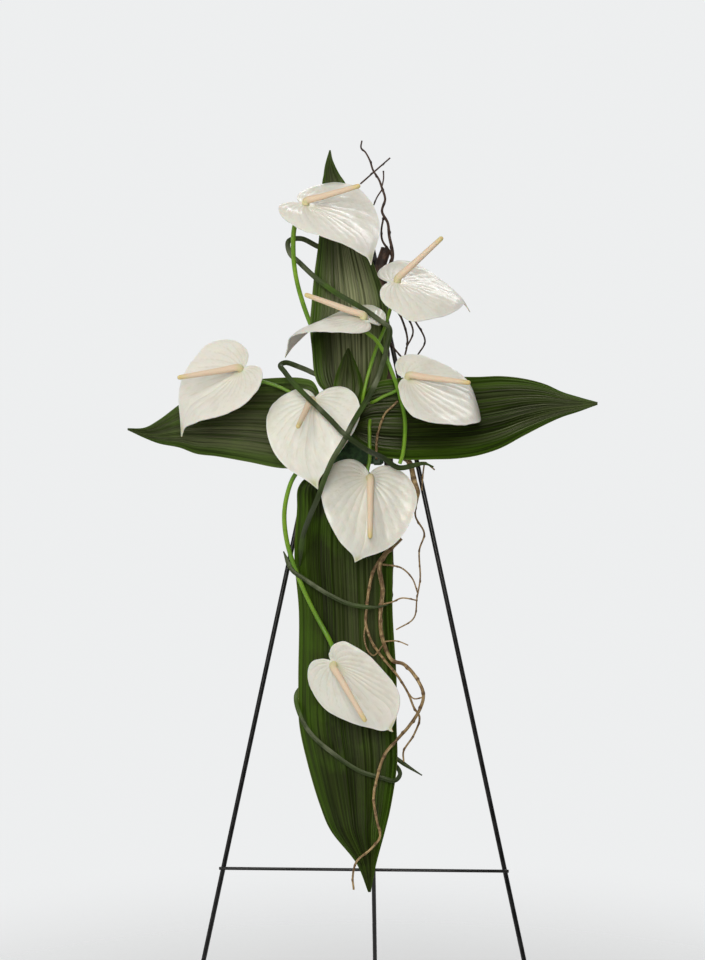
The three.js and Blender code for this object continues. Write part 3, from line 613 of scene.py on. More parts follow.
# For each leaf: whether it stands upright, how far 100 mm of width arches forward, and rows from tip
# to base: the place along the leaf, its two edges and how far it stands out. The stalk comes last.
LEAVES = {
    "leaf_top": (True, 5, [
        (337, -39.5, -38, 38), (326, -43, -35.7, 37), (317, -45.4, -32, 35.5), (307, -47, -26.7, 34),
        (296, -49, -19.5, 32.5), (229, -53, 2, 31), (181, -59, 21, 33), (149, -62, 31, 33),
        (116, -64, 34, 36), (87, -61, 34, 41), (55, -57, 33, 48), (40, -49, 27, 52),
        (31, -32, 13, 53.3), (27, -9, -1, 53.5)],
        [(-5, 33, 53.6), (-5, 28, 52), (-5, 25, 46), (-5, 24, 34)]),
    "leaf_left": (False, 5, [
        (-293, -12, -10, 42), (-272, -22, -9, 39), (-254, -29, 1, 36), (-229, -34, 20, 33),
        (-207, -42, 35, 32), (-182, -45, 42, 32), (-142, -52, 50, 36), (-97, -60, 53, 49),
        (-72, -58, 52, 56), (-58, -50, 47, 59.5), (-47, -34, 20, 61.5), (-42, -17, -9, 62)],
        [(-46, -13, 62.4), (-41, -13, 61), (-38, -13, 54), (-37, -13, 34)]),
    "leaf_right": (False, 5, [
        (294, 19, 22, 40), (270, 10, 29, 38), (251, 4, 35, 36), (229, -6, 45, 34),
        (202, -20, 52, 33), (174, -35, 55, 34), (146, -44, 54, 37), (119, -48, 54, 42),
        (91, -49, 54, 49), (49, -49, 52, 58), (15, -42, 44, 61), (-5, -24, 14, 62),
        (-12, -12, -4, 62)],
        [(-9, -8, 62.4), (-13, -8, 61), (-16, -8, 54), (-17, -8, 34)]),
    "leaf_bottom": (True, 5, [
        (-591, 9, 12, 36), (-556, -6, 19, 33), (-515, -39, 30, 30), (-485, -52, 37, 27),
        (-429, -69, 45, 24), (-382, -79, 44, 22), (-326, -80, 44, 22), (-240, -79, 39, 25),
        (-169, -84, 39, 33), (-111, -80, 37, 42), (-84, -78, 36, 46), (-71, -66, 32, 46),
        (-64, -6, 2, 45)],
        [(-2, -68, 45.5), (-2, -64, 44), (-2, -58, 38), (-2, -40, 32)]),
    "leaf_centre": (True, 8, [
        (89, -16, -14, 55), (70, -25, -5, 58), (52, -31, 2, 63), (37, -33, 4, 67),
        (20, -30, -3, 68), (10, -24, -15, 68)],
        [(-20, 14, 69.2), (-20, 9, 67), (-21, 7, 60), (-21, 7, 34)]),
}
# Where each leaf gets a painted sheen: the middle of the patch (across, along), its half size
# and its strength.
PAINTED_SHEEN = {
    "leaf_top": (0.62, 0.57, 0.26, 0.22, 1.2),
    "leaf_left": (0.45, 0.52, 0.42, 0.25, 0.26),
    "leaf_right": (0.5, 0.10, 0.4, 0.12, 0.15),
    "leaf_bottom": (0.66, 0.60, 0.22, 0.30, 0.15),
    "leaf_centre": (0.5, 0.5, 0.3, 0.3, 0.2),
}


# The painted sheen: strongest in the middle of its patch, fading out, and a little uneven.
def painted_sheen_rule(middle_s, middle_t, half_s, half_t, strength):
    def rule(s, t):
        far = ((s - middle_s) / half_s) ** 2 + ((t - middle_t) / half_t) ** 2
        return strength * np.exp(-far) * (0.8 + 0.3 * ripples(14 * s, 5 * t, 77))

    return rule


def leaf_place(upright, keel, rows, seed, wax):
    """The rule that bends a flat grid into one leaf: s runs across it and t from tip to base."""
    if upright:
        low, high = ([(row[1 + k], row[0], row[3]) for row in rows] for k in (0, 1))
    else:
        low, high = ([(row[0], row[1 + k], row[3]) for row in rows] for k in (0, 1))

    def place(s, t):
        a, b = spline(low, t), spline(high, t)
        width = np.linalg.norm(b - a, axis=1)
        full = np.minimum(1, width / FULL_WIDTH)
        side = 2 * s - 1
        point = a + (b - a) * s[:, None]
        arch = keel * (1 - side ** 2) * width / 100
        pleat = -PLEAT_DEPTH * full * np.cos(8 * math.pi * s)
        drift = 1.5 * ripples(6 * s, 3 * t, seed)
        ribs = RIB_HEIGHT * full * np.cos(2 * math.pi * RIB_COUNT * s + drift)
        wave = RIM_WAVE * full * side ** 4 * ripples(2 * side, 24 * t, seed + 1)
        point[:, 2] += arch + pleat + ribs + wave + 0.4 * full * ripples(9 * s, 5 * t, seed + 2)
        # Each corner also carries how strong the painted sheen is there.
        return point, {"wax": wax(s, t)}

    return place


def stalk_radius(share, around, run):
    return STALK_RADIUS + 0 * share


for seed, (node, (upright, keel, rows, line)) in enumerate(LEAVES.items()):
    across, along = (60, 60) if node == "leaf_centre" else (144, 120)
    rule = leaf_place(upright, keel, rows, 10 * seed, painted_sheen_rule(*PAINTED_SHEEN[node]))
    blade = shaped_grid(node + "_blade", across, along, rule)
    two_faced(blade, LEAF_THICKNESS, leaf_front, leaf_back)
    stalk = rod(node + "_stalk", line, stalk_radius, 16, 2)
    stalk.data.materials.append(leaf_back)
    leaf = joined(node + "_blade", [blade, stalk])
    hand_over(leaf, FRONT, "leaf", node)
    print(leaf.name, len(leaf.data.polygons), "faces")

# %% [markdown]
# ## Finish of the blooms
# What looks like the petal of an anthurium is a waxy leaf, the spathe. It is a warm white with
# sunken veins that are a little greyer, partly by their own tint and partly by painted shade in their
# grooves, a green tinge round its root and a yellow-green tip. The wax gives soft wide highlights
# that a fine crinkle breaks up, and some light passes through, so the white has a little subsurface
# scattering. The back is creamier and duller.

# %% Bloom materials
def spathe_finish(name, body, greyer_tint_and_groove_shade, tinge, roughness):
    finish = Finish(name, Subsurface_Weight=0.18, Subsurface_Scale=0.004, Coat_Weight=0.3,
                    Coat_Roughness=0.25)
    _, along = finish.split(finish.uv())
    lines = finish.group(lines_group, finish.uv(), Lines=150.0, Drift=5.0)
    mottle = finish.group(mottle_group, finish.place(), Scale=55.0)
    sunk = finish.value_of("pattern")
    # The sunken veins are greyed as deep as their grooves: partly their own tint, partly painted shade.
    colour = finish.mix(finish.mask(sunk, 0.15, 1.0, 0, 0.5), body, greyer_tint_and_groove_shade)
    colour = finish.mix(finish.mask(lines["Fine"], 0.52, 0.72, 0, 0.3), colour, greyer_tint_and_groove_shade)
    colour = finish.mix(finish.mask(mottle["Patches"], 0.5, 0.72, 0, 0.35), colour, greyer_tint_and_groove_shade)
    colour = finish.mix(finish.mask(along, 0.02, 0.2, 0.55, 0), colour, tinge)
    tip = finish.value_of("tip")
    colour = finish.mix(finish.mask(tip, 0.1, 1.0, 0, 0.8), colour, (0.50, 0.52, 0.20))
    colour = finish.mix(finish.mask(along, 0.965, 0.985, 0, 0.5), colour, (0.86, 0.85, 0.80))
    rough = finish.mask(mottle["Patches"], 0.3, 0.7, roughness - 0.05, roughness + 0.12)
    crinkle = finish.group(mottle_group, finish.place(), Scale=36.0)
    normal = finish.bump(lines["Fine"], 0.12, 0.8)
    normal = finish.bump(crinkle["Patches"], 1.6, 0.9, normal)
    return finish.paint(colour, rough, normal)


def spadix_finish():
    finish = Finish("spadix_florets", Subsurface_Weight=0.15, Subsurface_Scale=0.002)
    _, along = finish.split(finish.uv())
    floret = finish.value_of("pattern")
    colour = finish.mix(finish.mask(along, 0.02, 0.16), (0.66, 0.64, 0.36), (0.80, 0.64, 0.48))
    colour = finish.mix(finish.mask(along, 0.78, 0.99), colour, (0.72, 0.60, 0.25))
    # Painted shade: a darker brown in the hollows between the florets.
    colour = finish.mix(finish.mask(floret, 0.0, 0.8, 0.5, 0), colour, (0.58, 0.43, 0.26))
    return finish.paint(colour, finish.mask(floret, 0, 1, 0.75, 0.5))


spathe_face = spathe_finish("spathe_face", (0.82, 0.80, 0.722), (0.67, 0.645, 0.52),
                            (0.56, 0.60, 0.34), 0.34)
spathe_back = spathe_finish("spathe_back", (0.72, 0.71, 0.62), (0.60, 0.61, 0.46),
                            (0.45, 0.52, 0.22), 0.5)
spadix_skin = spadix_finish()
print("bloom finishes:", spathe_face.name, spathe_back.name, spadix_skin.name)

# %% [markdown]
# ## The spathes
# A spathe is a heart, measured by its reach from the root at each angle from its tip. The flat grid
# is wound round that root, so its far edge becomes the rim and its two sides meet in the notch.
# Each half has its own breadth, lobe and cup, the whole is bent, and its tip is drawn aside, in one
# bloom with a small hook as well. That gives every bloom its own pose. The veins leave the root
# together and curve towards the tip: each is a narrow groove with a soft swelling between it and the
# next, and the lobes beside the notch are puckered like a fan.

# %% Spathes
# Degrees from the tip, and how far the rim is from the root there as a share of the width.
HEART = [
    (0, 0.865), (2, 0.832), (5, 0.798), (10, 0.768), (20, 0.727), (35, 0.66), (55, 0.585), (75, 0.53),
    (95, 0.445), (115, 0.345), (135, 0.24), (152, 0.135), (170, 0.05), (180, 0.03),
]
SPATHE_THICKNESS = 1.2
VEIN_SPACING = 16
VEIN_SWEEP = 34
VEIN_WIDTH = 1.1
PUCKER_SPACING = 8.5
LOBE_FROM, LOBE_BLEND = 95, 30
CURL_FROM, CURL_SPAN = 0.55, 0.33
HOOK_FROM, HOOK_TO = 0.77, 0.86
# For each bloom: its root, where its tip and its face point, its width, and how the heart is bent.
# A pair is for its left and right halves, seen with the tip down. The spadix and the stem come last.
BLOOMS = {
    "bloom_1": dict(
        foot=(-65, 262, 98), tip=(0.91, -0.33, 0.26), face=(0.2, 0.89, 0.42), width=139,
        length=1.01, cup=(-0.41, 0.26), bend=-0.18, skew=-0.32, lobe=(0.99, 0.96),
        sides=(0.75, 1.19), curl=(-12, -11, 0), spadix=(67, 16, 20), girth=3.1,
        stem=[(-80, 240, 72), (-83, 205, 58), (-79, 170, 45), (-64, 121, 27), (-46, 85, 24),
              (-32, 55, 29), (-28, 36, 31), (-26, 16, 32)]),
    "bloom_2": dict(
        foot=(47, 167, 97), tip=(0.98, -0.06, -0.17), face=(0.12, 0.93, 0.35), width=112,
        length=0.98, cup=(-0.9, 0.35), bend=-0.28, skew=0.06, lobe=(1.22, 1.13), hook=(3, -9, 2),
        sides=(1.02, 1.04), curl=(-5, -2, 0), spadix=(55, 49, 12),
        stem=[(40, 150, 65), (36, 134, 50), (29, 112, 51), (20, 89, 58), (10, 55, 67), (4, 28, 67),
              (2, 16, 56), (2, 13, 34)]),
    "bloom_3": dict(
        foot=(6, 121, 110), tip=(-0.84, 0.4, -0.3), face=(0.24, 0.92, 0.3), width=119,
        length=0.98, cup=(0.29, -0.44), bend=-0.81, skew=0.03, lobe=(0.85, 1.0),
        sides=(0.92, 0.88), curl=(9, -15, 0), spadix=(-72, 26, 4), girth=2.7,
        stem=[(10, 106, 104), (20, 98, 97), (31, 81, 90), (38, 64, 89.3), (46, 42, 85.6), (54, 11, 76),
              (56, -7, 70), (53, -42, 62.5), (49, -54, 60)]),
    "bloom_4": dict(
        foot=(-145, 61, 88), tip=(-0.77, -0.63, -0.04), face=(-0.52, 0.6, 0.61), width=120,
        length=1, cup=(0.47, -0.21), bend=0.15, skew=-0.02, lobe=(0.95, 1.02),
        sides=(1.13, 0.91), curl=(16, -28, -1), spadix=(-74, -13, 14),
        stem=[(-138, 51, 70), (-122, 48, 62), (-96, 39, 59.5), (-70, 24, 63.5), (-50, 9, 69),
              (-38, 5, 64), (-34, 6, 52), (-33, 7, 34)]),
    "bloom_5": dict(
        foot=(60, 50, 97), tip=(0.95, -0.11, -0.31), face=(0.28, 0.75, 0.6), width=133,
        length=1.01, cup=(0.05, 0.69), bend=-0.18, skew=-0.09, lobe=(0.63, 0.56),
        sides=(1.21, 0.6), curl=(-19, -20, 0), spadix=(75, -10, 16),
        stem=[(50, 39, 80), (42, 34, 75), (30, 29, 73), (19, 23, 70), (13, 21, 58), (13, 21, 34)]),
    "bloom_6": dict(
        foot=(-56, 22, 92), tip=(-0.19, -0.86, 0.48), face=(-0.51, 0.5, 0.7), width=120,
        length=1.01, cup=(0.37, -0.34), bend=-0.25, skew=0, lobe=(1.04, 0.98),
        sides=(0.96, 1.08), curl=(16, -5, 0), spadix=(-12, -35, 58),
        stem=[(-58, 12, 78), (-50, 17, 75), (-40, 22, 68), (-33, 23, 54), (-32, 22, 34)]),
    "bloom_7": dict(
        foot=(12, -72, 82), tip=(-0.06, -0.94, 0.33), face=(0.4, 0.28, 0.87), width=125,
        length=0.99, cup=(-0.16, 0.31), bend=-0.15, skew=0.07, lobe=(0.97, 0.95),
        sides=(0.93, 0.96), curl=(-12, 4, 0), spadix=(1, -74, 34),
        stem=[(9, -66, 72), (12, -50, 70), (12, -25, 69), (12, -6, 68), (13, 3, 58), (13, 4, 34)]),
    "bloom_8": dict(
        foot=(-30, -300, 88), tip=(0.8, -0.59, 0.12), face=(-0.41, -0.39, 0.83), width=138,
        length=1.05, cup=(0.27, -0.06), bend=0.04, skew=0.01, lobe=(1.04, 0.52),
        sides=(0.87, 0.58), curl=(-27, -6, 1), spadix=(42, -64, 36), girth=3,
        stem=[(-30, -292, 72), (-34, -284, 56), (-39, -275, 42), (-46, -263, 36), (-54, -249, 35),
              (-71, -214, 38), (-86, -175, 42), (-93, -147, 46), (-95, -119, 52), (-91, -94, 60),
              (-82, -71, 69), (-65, -52, 74), (-45, -38, 72), (-33, -31, 60), (-30, -30, 34)]),
}

heart_line = spline([(angle, share, 0) for angle, share in HEART], np.linspace(0, 1, 600))


def bloom_axes(bloom):
    """Across the spathe, up away from its tip, and out of its face."""
    out = np.array(bloom["face"], float)
    out /= np.linalg.norm(out)
    up = -np.array(bloom["tip"], float)
    up -= out * (up @ out)
    up /= np.linalg.norm(up)
    return np.cross(up, out), up, out


def spathe_place(bloom, seed):
    """The rule that winds a grid round the root of one bloom."""
    across, up, out = bloom_axes(bloom)
    width = bloom["width"]

    def place(s, t):
        side = 2 * s - 1
        degrees = 180 * np.abs(side) ** 1.3
        turn = np.radians(degrees) * np.sign(side)
        behind = np.clip((degrees - LOBE_FROM) / LOBE_BLEND, 0, 1)
        size = np.interp(degrees, heart_line[:, 0], heart_line[:, 1])
        size = size * t * (1 + (np.where(side < 0, *bloom["lobe"]) - 1) * behind)
        u = size * np.sin(turn) * np.where(side < 0, *bloom["sides"])
        v = -size * np.cos(turn) * bloom["length"]
        flat = 1 - np.exp(-(u * u + v * v) / 0.006)
        lift = flat * (np.where(u < 0, *bloom["cup"]) * u * u + bloom["bend"] * v * v)
        sway = np.where(v < 0, bloom["skew"] * v * v, 0)

        greyer_tint_and_groove_shade = (degrees + VEIN_SWEEP * t ** 1.4 * np.sin(np.radians(degrees))) / VEIN_SPACING
        away = np.abs(greyer_tint_and_groove_shade - np.rint(greyer_tint_and_groove_shade)) * np.radians(VEIN_SPACING) * size * width
        groove = np.exp(-(away / VEIN_WIDTH) ** 2) * ramp(size, 0.03, 0.12) * (1 - 0.6 * ramp(t, 0.7, 1))
        swelling = 0.5 - 0.5 * np.cos(2 * math.pi * greyer_tint_and_groove_shade)
        quilt = swelling * ramp(size, 0.05, 0.3) * (1 - 0.5 * ramp(t, 0.8, 1))
        pucker = np.cos(2 * math.pi * degrees / PUCKER_SPACING)
        fan = ramp(degrees, 85, 120) * np.sin(math.pi * t) * pucker
        rim = ramp(t, 0.86, 1)
        relief = 0.4 * quilt - 0.35 * groove + 0.3 * fan - 1.1 * rim ** 2
        relief = relief + 1.5 * t ** 3 * ripples(7 * u, 7 * v, seed)
        relief = relief + 0.6 * ripples(22 * u, 22 * v, seed + 1) * flat
        relief = relief + 0.16 * ripples(70 * u, 70 * v, seed + 2) * flat
        end = np.clip((-v - CURL_FROM) / CURL_SPAN, 0, 1) ** 2
        point = (np.array(bloom["foot"], float)
                 + np.outer((u + sway) * width, across)
                 + np.outer(v * width, up)
                 + np.outer(lift * width + relief, out)
                 + np.outer(end, bloom["curl"])
                 + np.outer(ramp(-v, HOOK_FROM, HOOK_TO), bloom.get("hook", (0, 0, 0))))
        # The depth of the grooves goes along too, for the painted shade in them.
        return point, {"pattern": groove, "tip": ramp(-v, 0.74, 0.86)}

    return place


for seed, (name, bloom) in enumerate(BLOOMS.items()):
    heart = shaped_grid(name + "_petal", 132, 44, spathe_place(bloom, 100 + 10 * seed))
    edit_all(heart, merge_doubles)
    two_faced(heart, SPATHE_THICKNESS, spathe_face, spathe_back, bloom_axes(bloom)[2])
    hand_over(heart, FRONT, "spathe", name + "_spathe")
print("spathes:", len(BLOOMS))

# %% [markdown]
# ## The spadices
# The finger that stands on the spathe is packed with tiny florets, set in two crossing spirals like
# the scales of a pine cone. A wave round the rod multiplied by a wave along it gives exactly that
# lattice, for the cost of one grid.

# %% Spadices
SPADIX_RADIUS = 4.6
FLORETS_ROUND = 13
FLORET_PITCH = 3.4


def spadix_line(bloom):
    out = bloom_axes(bloom)[2]
    root = np.array(bloom["foot"]) + out * (SPATHE_THICKNESS / 2 + 0.3)
    knee = root + 4 * out
    direction = np.array(bloom["spadix"], float)
    return [root, knee] + [knee + direction * share for share in (0.25, 0.6, 0.97, 1)]


def floret_radius(slim, length):
    def radius(share, around, run):
        rounding = np.sqrt(np.clip(1 - (1 - np.clip((length - run) / 4, 0, 1)) ** 2, 0, 1))
        body = SPADIX_RADIUS * (1 + (slim - 1) * share) * (0.3 + 0.7 * rounding)
        wave = 0.5 + 0.5 * np.cos(FLORETS_ROUND * around) * np.cos(2 * math.pi * run / FLORET_PITCH)
        return body * (0.965 + 0.055 * wave), wave

    return radius


for name, bloom in BLOOMS.items():
    slim = 0.62 if np.linalg.norm(bloom["spadix"]) > 40 else 0.75
    line = spadix_line(bloom)
    finger = rod(name + "_finger", line, floret_radius(slim, evenly(line, 8)[2]), 52, 0.55)
    finger.data.materials.append(spadix_skin)
    hand_over(finger, FRONT, "spadix", name + "_spadix")
print("spadices:", len(BLOOMS), "of about", FLORETS_ROUND, "florets round")

# %% [markdown]
# ## The flower stems
# A stem leaves the back of its spathe, bows over and disappears among the leaves into the foam. It
# is a plain round rod, stouter in three of the blooms, so its life comes from its finish: a fresh
# yellow-green in soft patches, fine lines along it, a paler neck and a soft shine.

# %% Stems
STEM_RADIUS = 2.3


def stem_finish():
    finish = Finish("flower_stem", Subsurface_Weight=0.08, Subsurface_Scale=0.003)
    _, along = finish.split(finish.uv())
    lines = finish.group(lines_group, finish.uv(), Lines=36.0, Drift=3.0)
    mottle = finish.group(mottle_group, finish.place(), Scale=25.0)
    patches = finish.mask(mottle["Patches"], 0.35, 0.65)
    colour = finish.mix(patches, (0.11, 0.25, 0.010), (0.20, 0.37, 0.020))
    colour = finish.mix(finish.mask(lines["Fine"], 0.5, 0.7, 0, 0.4), colour, (0.30, 0.48, 0.09))
    colour = finish.mix(finish.mask(along, 0, 0.12, 0.6, 0), colour, (0.36, 0.46, 0.12))
    rough = finish.mask(lines["Broad"], 0.3, 0.7, 0.35, 0.5)
    return finish.paint(colour, rough, finish.bump(lines["Fine"], 0.15, 0.6))


def stem_line(bloom):
    out = bloom_axes(bloom)[2]
    start = np.array(bloom["foot"]) - out * (SPATHE_THICKNESS / 2 + 0.3)
    return [start, start - 6 * out] + [np.array(p, float) for p in bloom["stem"]]


def stem_radius(girth, seed):
    def radius(share, around, run):
        collar = 0.5 * np.exp(-(run / 2.5) ** 2)
        return girth * (1 + 0.05 * ripples(0.06 * run, 0 * run, 300 + seed)) - 0.15 + collar

    return radius


stem_skin = stem_finish()
for seed, (name, bloom) in enumerate(BLOOMS.items()):
    radius = stem_radius(bloom.get("girth", STEM_RADIUS), seed)
    stalk = rod(name + "_stalk", stem_line(bloom), radius, 20, 1.6)
    stalk.data.materials.append(stem_skin)
    hand_over(stalk, FRONT, "stem", name + "_stem")
print("stems:", len(BLOOMS))

# %% [markdown]
# ## The grass
# Strands of lily grass loop over the leaves and between the blooms. A strand is a channelled ribbon
# that keeps its face to the viewer while it winds, with a few fine ribs and ends that narrow to a
# point. It is the same sheet as a leaf, only carried along one line instead of two. Its green is
# clearer in some patches, and in others a pale grey-green sheen is painted on.

# %% Grass strands
STRAND_THICKNESS = 1.0
# For each strand: its width and the places that it passes.
STRANDS = {
    "strand_1": (6, [
        (-40, 212, 23), (-56, 219, 23), (-76, 228, 28), (-91, 224, 34), (-89, 209, 38),
        (-76, 196, 42), (-57, 178, 47), (-31, 158, 62), (-6, 142, 92), (14, 129, 106),
        (26, 120, 109), (38, 110, 109), (34, 85, 103), (26, 57, 99), (16, 34, 103), (6, 15, 123),
        (-5, -5, 139), (-16, -27, 143), (-29, -49, 144), (-39, -72, 142), (-47, -94, 136),
        (-61, -122, 100), (-72, -149, 60), (-77, -182, 34)]),
    "strand_2": (6, [
        (-50, 52, 42.4), (-62, 60, 45.2), (-76, 66, 53), (-92, 71, 63), (-98, 67, 73), (-92, 59, 83),
        (-82, 47, 96), (-66, 31, 111), (-50, 16, 122), (-32, -1, 137), (-15, -18, 151),
        (11, -37, 131), (30, -47, 98), (49, -59, 84), (79, -54, 72), (91, -58, 68)]),
    "strand_3": (5, [
        (-97, -164, 40.6), (-86, -187, 44.1), (-72, -197, 46), (-42, -216, 48), (-14, -229, 49),
        (15, -233, 49), (34, -230, 47)]),
    "strand_4": (5, [
        (-75, -331, 18.6), (-83, -348, 19.4), (-76, -372, 32), (-61, -395, 36), (-35, -417, 37),
        (-1, -439, 38), (26, -447, 38), (42, -451, 35), (48.5, -444, 26), (43, -435, 17),
        (33, -430, 12), (28, -423, 10), (32, -417, 9.5), (40, -424, 10), (54, -434, 11),
        (76, -447.5, 13)]),
}


def grass_finish():
    finish = Finish("lily_grass", Specular_IOR_Level=0.35, Specular_Tint=(1, 1, 0.75, 1))
    lines = finish.group(lines_group, finish.uv(), Lines=16.0, Drift=6.0)
    mottle = finish.group(mottle_group, finish.place(), Scale=14.0)
    fibres = finish.mask(lines["Fine"], 0.35, 0.65)
    clear = finish.mask(mottle["Patches"], 0.5, 0.72, 0, 0.7)
    painted_sheen_patches = finish.mask(mottle["Patches"], 0.46, 0.34, 0, 0.7)
    colour = finish.mix(fibres, (0.014, 0.027, 0.005), (0.045, 0.064, 0.024))
    colour = finish.mix(clear, colour, (0.06, 0.125, 0.012))
    # Painted sheen: a pale grey-green laid on in random patches.
    colour = finish.mix(painted_sheen_patches, colour, (0.14, 0.16, 0.095))
    rough = finish.mask(lines["Broad"], 0.3, 0.7, 0.34, 0.5)
    return finish.paint(colour, rough, finish.bump(lines["Fine"], 0.2, 0.8))


def strand_place(points, width, rows):
    places, directions, length = evenly(points, rows + 1)
    across = np.cross((0, 0, 1), directions)
    across /= np.linalg.norm(across, axis=1, keepdims=True)
    deep = np.cross(directions, across)

    def place(s, t):
        k = np.rint(t * rows).astype(int)
        side = 2 * s - 1
        left = np.minimum(t, 0.5 * (1 - t)) * length
        half = width / 2 * (0.12 + 0.88 * ramp(left, -2, 16))
        channel = 0.55 * (1 - np.abs(side) ** 1.5) * half / (width / 2)
        channel = channel + 0.06 * np.cos(5 * math.pi * side)
        return places[k] + across[k] * (half * side)[:, None] + deep[k] * channel[:, None]

    return place


grass_skin = grass_finish()
for name, (width, points) in STRANDS.items():
    rows = int(evenly(points, 8)[2] / 1.6)
    ribbon = shaped_grid(name + "_ribbon", 14, rows, strand_place(points, width, rows))
    two_faced(ribbon, STRAND_THICKNESS, grass_skin, grass_skin)
    hand_over(ribbon, FRONT, "strand", name)
print("strands:", len(STRANDS))

# %% [markdown]
# ## The curly willow
# Contorted willow is dark red-brown when fresh and tan when its bark has dried. Each twig tapers to
# its tip, swells a little at every bud, and its bark is finely furrowed. The buds wind round a twig,
# so they are put into the rod's radius as soft bumps at a fixed spacing, each turned by a little over
# a third of a circle from the one before. All twigs of one branch are joined, because they grew as one.

# %% Willow bark
def bark_finish(name, deep, mid, pale):
    finish = Finish(name)
    lines = finish.group(lines_group, finish.uv(), Lines=9.0, Drift=30.0)
    mottle = finish.group(mottle_group, finish.place(), Scale=70.0)
    colour = finish.mix(finish.mask(mottle["Patches"], 0.35, 0.65), deep, mid)
    colour = finish.mix(finish.mask(lines["Fine"], 0.48, 0.66, 0, 0.7), colour, pale)
    colour = finish.mix(finish.mask(finish.value_of("pattern"), 0.2, 0.9, 0, 0.75), colour, deep)
    rough = finish.mask(mottle["Specks"], 0.3, 0.7, 0.55, 0.8)
    normal = finish.bump(lines["Fine"], 0.3, 0.8)
    return finish.paint(colour, rough, finish.bump(mottle["Specks"], 0.2, 0.6, normal))


bark_dark = bark_finish("bark_dark", (0.016, 0.008, 0.005), (0.055, 0.028, 0.017), (0.13, 0.07, 0.042))
bark_tan = bark_finish("bark_tan", (0.12, 0.065, 0.025), (0.36, 0.235, 0.10), (0.64, 0.48, 0.25))

# %% Willow twigs
BUD_SPACING = 19
BUD_TURN = 2.4
# For each branch: its slot, its bark and its twigs, each with its places and its radius at both ends.
WILLOWS = {
    "willow_main": ("bark_dark", bark_dark, [
        ([(31, 215, 24), (25, 196, 26), (25, 176, 26), (27, 150, 25), (28.5, 100, 25), (30, 66, 25),
          (34.2, 40, 26), (34.2, -55, 26), (33, -110, 22), (35, -170, 16), (34, -230, 13),
          (33, -290, 12)], 7, 4.2),
        ([(27, 182, 26), (39, 203, 30), (35, 231, 33), (33, 247, 31), (26, 261, 33), (30, 276, 36),
          (26, 290, 34), (22, 301, 32), (15, 312, 34), (11, 324, 36), (5, 335, 34), (0, 340, 35),
          (1, 349, 36)], 2.3, 1),
        ([(27, 184, 26), (38, 204, 27), (26, 226, 24), (25, 238, 26), (28, 254, 30)], 1.8, 1.2),
        ([(-1, 295, 36), (16, 310, 34), (36, 328, 30)], 1.1, 1),
        ([(26, 292, 34), (28, 301, 36), (28, 311, 38)], 1, 0.9),
        ([(26, 288, 34), (20, 278, 38), (16, 268, 40)], 1, 0.9),
        ([(27, 160, 25), (43, 140, 34), (51, 126, 38), (58, 100, 40), (54, 76, 42)], 1.8, 1.1),
        ([(27, 164, 25), (54, 140, 34), (61, 124, 40), (65, 109, 42), (56, 89, 40)], 1.6, 1),
        ([(27, 168, 25), (58, 140, 32), (68, 123, 40), (80, 98, 44), (71, 81, 44)], 1.6, 1),
        ([(28.5, 112, 25), (38, 94, 30), (46, 84, 36), (54, 75, 41)], 1.6, 1)]),
    "willow_lower": ("bark_tan", bark_tan, [
        ([(14, -34, 30), (30, -38, 39), (46, -44, 40), (60, -52, 32), (66, -75, 30), (70, -90, 34),
          (61, -118, 38), (46, -144, 40), (24, -176, 40)], 3.6, 3.2),
        ([(50, -147, 40), (20, -180, 39), (12, -200, 37), (7, -235, 36), (6, -254, 37),
          (12, -274, 36), (25, -295, 33), (44, -318, 31), (58, -340, 33), (66, -359, 34),
          (73, -372, 32), (66, -394, 30), (53, -415, 29), (53, -428, 27)], 2.2, 1.2),
        ([(50, -147, 40), (24, -178, 41), (27, -212, 40), (24, -251, 40), (29, -281, 34),
          (39, -301, 32), (53, -305, 34), (68, -320, 38), (78, -342, 40), (74, -360, 40),
          (60, -382, 41), (45, -399, 42), (30, -417, 43), (21, -444, 44), (16, -471, 42),
          (20, -500, 42), (24, -520, 43), (14, -534, 44), (-5, -551, 45), (-10, -570, 44),
          (-9, -587, 41)], 3, 1.3),
        ([(72, -92, 34), (68, -119, 40), (79, -141, 42), (73, -162, 42), (74, -197, 42),
          (70, -222, 40), (66, -247, 38), (44, -262, 34)], 1.3, 0.9),
        ([(27, -180, 41), (50, -184, 42), (64, -197, 43), (71, -216, 41)], 1.2, 0.9),
        ([(26, -230, 40), (39, -227, 40), (51, -222, 40), (71, -225, 40)], 1.1, 0.9),
        ([(28, -277, 35), (45, -276, 36), (59, -281, 38)], 1, 0.8),
        ([(58, -340, 34), (66, -348, 36), (77, -346, 40)], 1, 0.9),
        ([(6, -254, 37), (4, -272, 40), (9, -288, 41), (16, -294, 38), (27, -282, 34)], 1.1, 0.9),
        ([(62, -56, 31), (79, -53, 31), (92, -62, 30)], 1.4, 1),
        ([(79, -53, 31), (77, -70, 30), (76, -88, 31)], 1.1, 0.9)]),
    "willow_twig": ("bark_tan", bark_tan, [
        ([(20, -48, 34), (20, -46, 56), (20, -40, 66), (22, -19, 70), (31, 7, 72), (40, 16, 73),
          (47, 23, 73)], 1.7, 1.3)]),
}


def twig_radius(start, end, seed):
    def radius(share, around, run):
        body = start + (end - start) * share
        bud = np.rint(run / BUD_SPACING)
        near = np.exp(-((run - bud * BUD_SPACING) / (1.1 + 0.5 * body)) ** 2)
        lean = 0.5 + 0.5 * np.cos(around - BUD_TURN * bud - seed)
        knot = near * lean ** 2 * np.minimum(1.1, 0.35 + 0.35 * body) * (bud > 0)
        furrow = 0.035 * body * ripples(3 * np.cos(around) + 0.3 * run, 3 * np.sin(around), seed)
        return body * 0.97 + furrow + knot, near * (bud > 0)

    return radius


